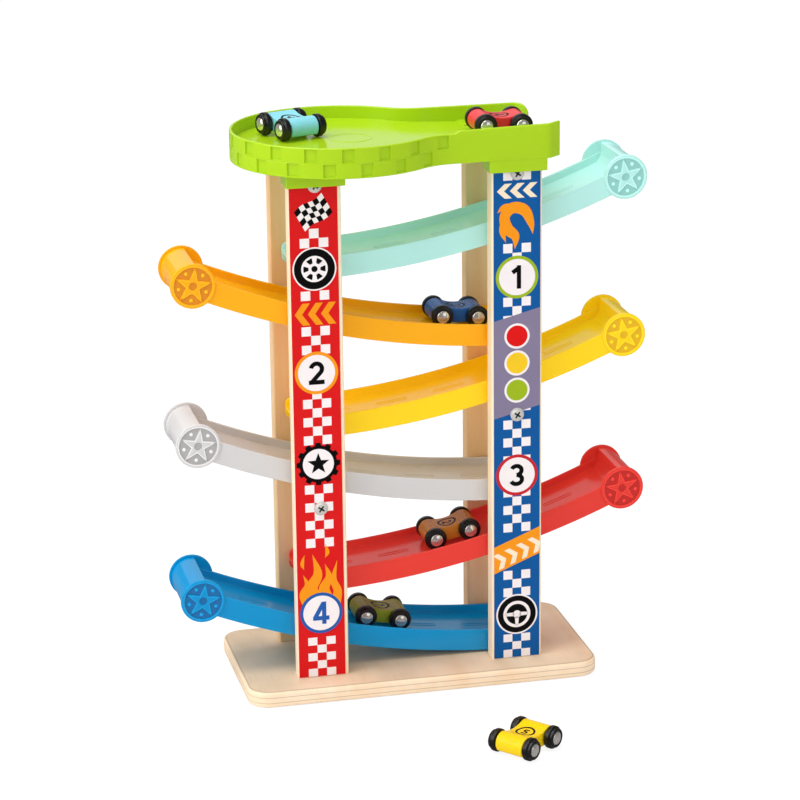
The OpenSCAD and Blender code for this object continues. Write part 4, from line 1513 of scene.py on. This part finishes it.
FLAMES = [
    [(-9, 0, 9), (-12.4, 8, 6.5), (-9.8, 15, 4), (-12.6, 23, 0)],
    [(-3, 0, 12), (-6.8, 12, 9), (-2, 23, 6.5), (-5.6, 38, 0)],
    [(5, 0, 11), (2.4, 11, 8), (6, 20, 5), (3.4, 30, 0)],
    [(10.5, 0, 8), (12.2, 9, 6), (9.4, 18, 4.4), (12.2, 32, 0)],
    [(-12, 27, 0), (-13.2, 31.5, 2.8), (-11.4, 38, 0)],
    [(3.6, 35, 0), (5.2, 39, 3), (3.8, 45, 0)],
]
CURL = [
    [(11.4, -9, 0), (10, -1, 5), (5.4, 8.4, 8), (-3.4, 10.6, 8), (-9, 4.6, 7.4), (-7, -4, 8),
     (-1.4, -10, 6.4), (-1.6, -19, 0)],
    [(-3, 10, 8), (-9.5, 11, 4.8), (-14.4, 7.6, 0)],
    [(-8, 2, 7), (-10.4, -6, 5), (-8.2, -14, 0)],
]


def add_tongues(sticker, tongues, z):
    """Ribbons that overlap, each on a layer of its own."""
    for layer, stops in enumerate(tongues, 2):
        sticker.plate("orange", shifted(tongue(stops), 0, z), layer)


def add_flag(sticker, z):
    """A waving patch of squares, in rows that lean to the right."""
    columns, rows = 6, 4

    def corner(u, v):
        wave = 1.3 * sin(2 * pi * u / columns)
        return -13.6 + 3.25 * u + 1.9 * v, z + 5.4 + 2.1 * u - 3.5 * v - 6 + wave

    for u in range(columns):
        for v in range(rows):
            patch = [corner(u, v), corner(u + 1, v), corner(u + 1, v + 1), corner(u, v + 1)]
            sticker.plate("white" if (u + v) % 2 else "black", patch, 2)


def add_slant(sticker, colour, left, right, thick, layer):
    """A slanting band across the whole sticker; left and right are the heights of its upper edge."""
    half = (sticker.high.x - sticker.low.x) / 2
    sticker.plate(colour, [(-half, left - thick), (half, right - thick), (half, right), (-half, left)], layer)


red, blue = stickers["left"], stickers["right"]
add_flag(red, 345)
add_tyre(red, 303.4)
add_arrows(red, "orange", 271.2, 15.8)
add_number_round(red, "2", 228.4, "orange")
add_gear_star(red, 161.4)
add_tongues(red, FLAMES, 56)
add_number_round(red, "4", 49.1, "sky_blue", "sky_blue", len(FLAMES) + 2)
add_arrows(blue, "cream", 349.8, 10.6)
add_tongues(blue, CURL, 327)
add_number_round(blue, "1", 287.5, "leaf")
add_slant(blue, "mauve", 255.9, 264.5, 72.2, 2)
for colour, z in (("signal_red", 244.4), ("amber", 224.5), ("leaf", 204.4)):
    add_light(blue, colour, z)
add_number_round(blue, "3", 140.7, "crimson")
add_slant(blue, "orange", 86.5, 100.2, 20.4, 2)
for k in range(4):
    head = arrow_head(4.2, 4.2, 12)
    along = -14 + 8.6 * k
    blue.plate("cream", shifted(head, along + 6, 83.5 + 0.41 * along, pi + 0.39), 3)
add_wheel_round(blue, 33.9)
for side, sticker in stickers.items():
    slot = {"left": "red_print", "right": "blue_print"}[side]
    for colour, shape in sticker.plates.items():
        dress(shape.piece(f"{side}_{colour}_ink", ink[colour]), "stand", slot)
print({side: sorted(sticker.plates) for side, sticker in stickers.items()})

# %% [markdown]
# ## The cars
# Each car is a block of wood shaped like a spool lying on its side: two round ends, a hollow saddle
# between them and a flat belly. Its axles and wheels are separate and turn with their own bodies.
# The axles' solids tell where a car stands and which way it heads, so one recipe makes all six.

# %% Car sizes and places
CARS = {"navy": "3", "copper": "2", "olive": "1", "red": "4", "sky": "6", "yellow": "5"}
WHEELBASE = 26
CAR_W = 22
CAR_END_R = 7.3
SADDLE_H = 4.8
BELLY = 5.2
CAR_EDGE = 0.9
SADDLE_R = ((WHEELBASE / 2) ** 2 + SADDLE_H ** 2 - CAR_END_R ** 2) / (2 * (CAR_END_R - SADDLE_H))
SADDLE_Z = SADDLE_H + SADDLE_R
WHEEL_IN = CAR_W / 2 + 0.7
WHEEL_R = 8.1
WHEEL_W = 6
TREAD_W = 3.7
SIDE_RING_R = 6.8
HUB_R = 4.6
AXLE_R = 1.5
HUB_T = 1.3
AXLE_HALF = WHEEL_IN + WHEEL_W + 0.4
BADGE_R = 7
BADGE_LINE = 1.5
BADGE_NUMBER = 7.2
BADGE_STEP = 0.06


def car_place(name):
    """A frame with X to the car's nose and its axles at height zero, read from the axles."""
    front, rear = (sum(box_mm(f"{name}_car_{end}_axle"), Vector()) / 2 for end in ("front", "rear"))
    ahead = (front - rear).normalized()
    left = Vector((0, 0, 1)).cross(ahead).normalized()
    turn = Matrix((ahead, left, ahead.cross(left))).transposed().to_4x4()
    return Matrix.Translation((front + rear) / 2) @ turn


def car_outline():
    """The body's side view: from the belly round the nose, through the saddle and round the tail."""
    half = WHEELBASE / 2
    meet = atan2(SADDLE_Z, half)
    belly = asin(BELLY / CAR_END_R)
    nose = [-belly + (pi - meet + belly) * k / 22 for k in range(23)]
    outline = [(half + CAR_END_R * cos(a), CAR_END_R * sin(a)) for a in nose]
    swing = pi / 2 - meet
    for k in range(1, 14):
        a = -pi / 2 + swing * (1 - 2 * k / 14)
        outline.append((SADDLE_R * cos(a), SADDLE_Z + SADDLE_R * sin(a)))
    outline += [(-x, z) for x, z in reversed(outline[:23])]
    return [Vector(p) for p in outline]


def add_car_body(shape, place):
    outline = car_outline()
    half = CAR_W / 2
    loops = []
    for inset, y in rim_levels(-half, half, CAR_EDGE):
        loops.append([(p.x, y, p.y) for p in drawn_in(outline, inset)])
    shape.loft(loops, place)


def saddle_z(x):
    return SADDLE_Z - sqrt(SADDLE_R ** 2 - x ** 2)


def add_badge(shape, place, text):
    """A ring with a number, laid on the saddle with the number's top towards the nose."""
    angles = [2 * pi * k / 64 for k in range(64)]

    def loop(radius, lift):
        return [(radius * cos(a), radius * sin(a), saddle_z(radius * cos(a)) + lift) for a in angles]

    inner = BADGE_R - BADGE_LINE
    shape.loft([loop(BADGE_R, -0.15), loop(BADGE_R, BADGE_STEP), loop(inner, BADGE_STEP), loop(inner, -0.15)],
               place, ring=True)

    def lay(point, up):
        return place @ Vector((point.y, -point.x, saddle_z(point.y) + (up - 0.5) * BADGE_STEP))

    add_number(shape, text, BADGE_NUMBER, lay)


def wheel_profile():
    corners = [(AXLE_R + 0.1, 0), (WHEEL_R, 0), (WHEEL_R, TREAD_W), (SIDE_RING_R, TREAD_W + 0.3),
               (SIDE_RING_R, WHEEL_W), (HUB_R + 0.05, WHEEL_W), (HUB_R + 0.05, WHEEL_W - HUB_T),
               (AXLE_R + 0.1, WHEEL_W - HUB_T)]
    return [(r, WHEEL_IN + h) for r, h in rounded(corners, 0.75)]


def axle_profile():
    """The rod with a domed cap at each end."""
    head = WHEEL_IN + WHEEL_W - HUB_T
    cap = [(HUB_R, head), (HUB_R, AXLE_HALF - 0.7), (HUB_R - 0.25, AXLE_HALF - 0.25),
           (HUB_R - 0.8, AXLE_HALF + 0.05), (HUB_R - 1.6, AXLE_HALF + 0.42), (HUB_R - 2.6, AXLE_HALF + 0.72),
           (HUB_R - 3.6, AXLE_HALF + 0.87), (0.3, AXLE_HALF + 0.92)]
    half = [(AXLE_R, head)] + cap
    return [(r, -h) for r, h in reversed(half)] + half


def make_car(name, number):
    place = car_place(name)
    body, badge = Shape(), Shape()
    add_car_body(body, place)
    add_badge(badge, place, number)
    slot = name + "_paint"
    dress(body.piece(name + "_block", car_paint[name]), name + "_car", slot, name + "_car_body")
    dress(badge.piece(name + "_badge", ink["black"]), name + "_car", slot)
    for end, sign in (("front", 1), ("rear", -1)):
        shaft = place @ Matrix.Translation((sign * WHEELBASE / 2, 0, 0))
        axle, wheels = Shape(), Shape()
        axle.turned(axle_profile(), shaft @ FACE_FRONT, steps=40)
        for face in FACES.values():
            wheels.turned(wheel_profile(), shaft @ face, ring=True)
        carrier = f"{name}_car_{end}_set"
        dress(axle.piece(f"{name}_{end}_hubs", hub_chrome), carrier, "hub_chrome", f"{name}_car_{end}_axle")
        tyres = wheels.piece(f"{name}_{end}_tyres", wheel_black)
        dress(tyres, carrier, "wheel_black", f"{name}_car_{end}_wheels")
    return [round(c) for c in place.translation]


print({name: make_car(name, number) for name, number in CARS.items()})

# %% [markdown]
# ## Floor and light
# The toy stands on a white floor in soft studio light. The floor's own light towards the camera and its
# share of real shading come to white together, so that the soft shadow under the toy stays. In mirror
# images the floor and the room are dimmer, which keeps the glossy colours full. A broad lamp from the
# upper left gives the shapes their form, a weaker one fills from the right, and a large one stands
# behind as a white wall would, for the sheen on the running floors.

# %% Floor, world and lamps
FLOOR_SIZE = 8
FLOOR_DROP = 0.0003
GLOW_SHARE = 0.8
GLOW = 1.1
WORLD_LIGHT = 0.62
MIRROR_LIGHT = 0.14
MIRROR_FLOOR = 0.25
CAMERA_RAY, GLOSSY_RAY = 0, 3


def is_ray(net, kind):
    """One for rays of a kind, zero for all others."""
    return net.node("ShaderNodeLightPath", out=kind)


def floor_finish():
    material, net, where = new_finish("white_floor")
    paper = net.noise(where, 3, 2)
    white = net.mix(paper * 0.3, (0.93, 0.93, 0.93, 1), (0.9, 0.9, 0.9, 1))
    matt = net.node("ShaderNodeBsdfDiffuse", {}, {"Color": white})
    glow = net.node("ShaderNodeEmission", {}, {"Color": (1, 1, 1, 1), "Strength": GLOW})
    dim = net.node("ShaderNodeEmission", {}, {"Color": (1, 1, 1, 1), "Strength": MIRROR_FLOOR})
    both = net.node("ShaderNodeMixShader", {}, {0: is_ray(net, CAMERA_RAY) * GLOW_SHARE, 1: matt, 2: glow})
    both = net.node("ShaderNodeMixShader", {}, {0: is_ray(net, GLOSSY_RAY), 1: both, 2: dim})
    net.node("ShaderNodeOutputMaterial", {}, {"Surface": both})
    return material


def make_floor():
    half = FLOOR_SIZE / 2
    mesh = bpy.data.meshes.new("floor")
    mesh.from_pydata([(-half, -half, -FLOOR_DROP), (half, -half, -FLOOR_DROP),
                      (half, half, -FLOOR_DROP), (-half, half, -FLOOR_DROP)], [], [(0, 1, 2, 3)])
    mesh.materials.append(floor_finish())
    floor = bpy.data.objects.new("floor", mesh)
    scene.collection.objects.link(floor)


def make_world():
    world = bpy.data.worlds.new("studio")
    world.use_nodes = True
    scene.world = world
    net = Net(world.node_tree)
    strength = (WORLD_LIGHT + is_ray(net, CAMERA_RAY) * (1 - WORLD_LIGHT)
                + is_ray(net, GLOSSY_RAY) * (MIRROR_LIGHT - WORLD_LIGHT))
    sky = net.node("ShaderNodeBackground", {}, {"Color": (1, 1, 1, 1), "Strength": strength})
    net.node("ShaderNodeOutputWorld", {}, {"Surface": sky})


def add_lamp(name, place, aim, size, power):
    data = bpy.data.lights.new(name, "AREA")
    data.shape = "DISK"
    data.size = size
    data.energy = power
    lamp = bpy.data.objects.new(name, data)
    lamp.visible_camera = False
    direction = Vector(aim) - Vector(place)
    lamp.matrix_world = Matrix.Translation(place) @ direction.to_track_quat("-Z", "Y").to_matrix().to_4x4()
    scene.collection.objects.link(lamp)


make_floor()
make_world()
add_lamp("key_lamp", (-2, -0.6, 1.35), (0, 0, 0.2), 2.2, 25)
add_lamp("fill_lamp", (0.9, -2, 0.9), (0, 0, 0.2), 1.4, 4)
add_lamp("top_lamp", (-0.5, -0.2, 2.1), (0, 0, 0.2), 1.5, 22)
add_lamp("back_lamp", (0, 2.5, 1.75), (0, 0, 0.3), 3, 11)
scene.view_settings.view_transform = "Standard"
print("floor, world and four lamps")
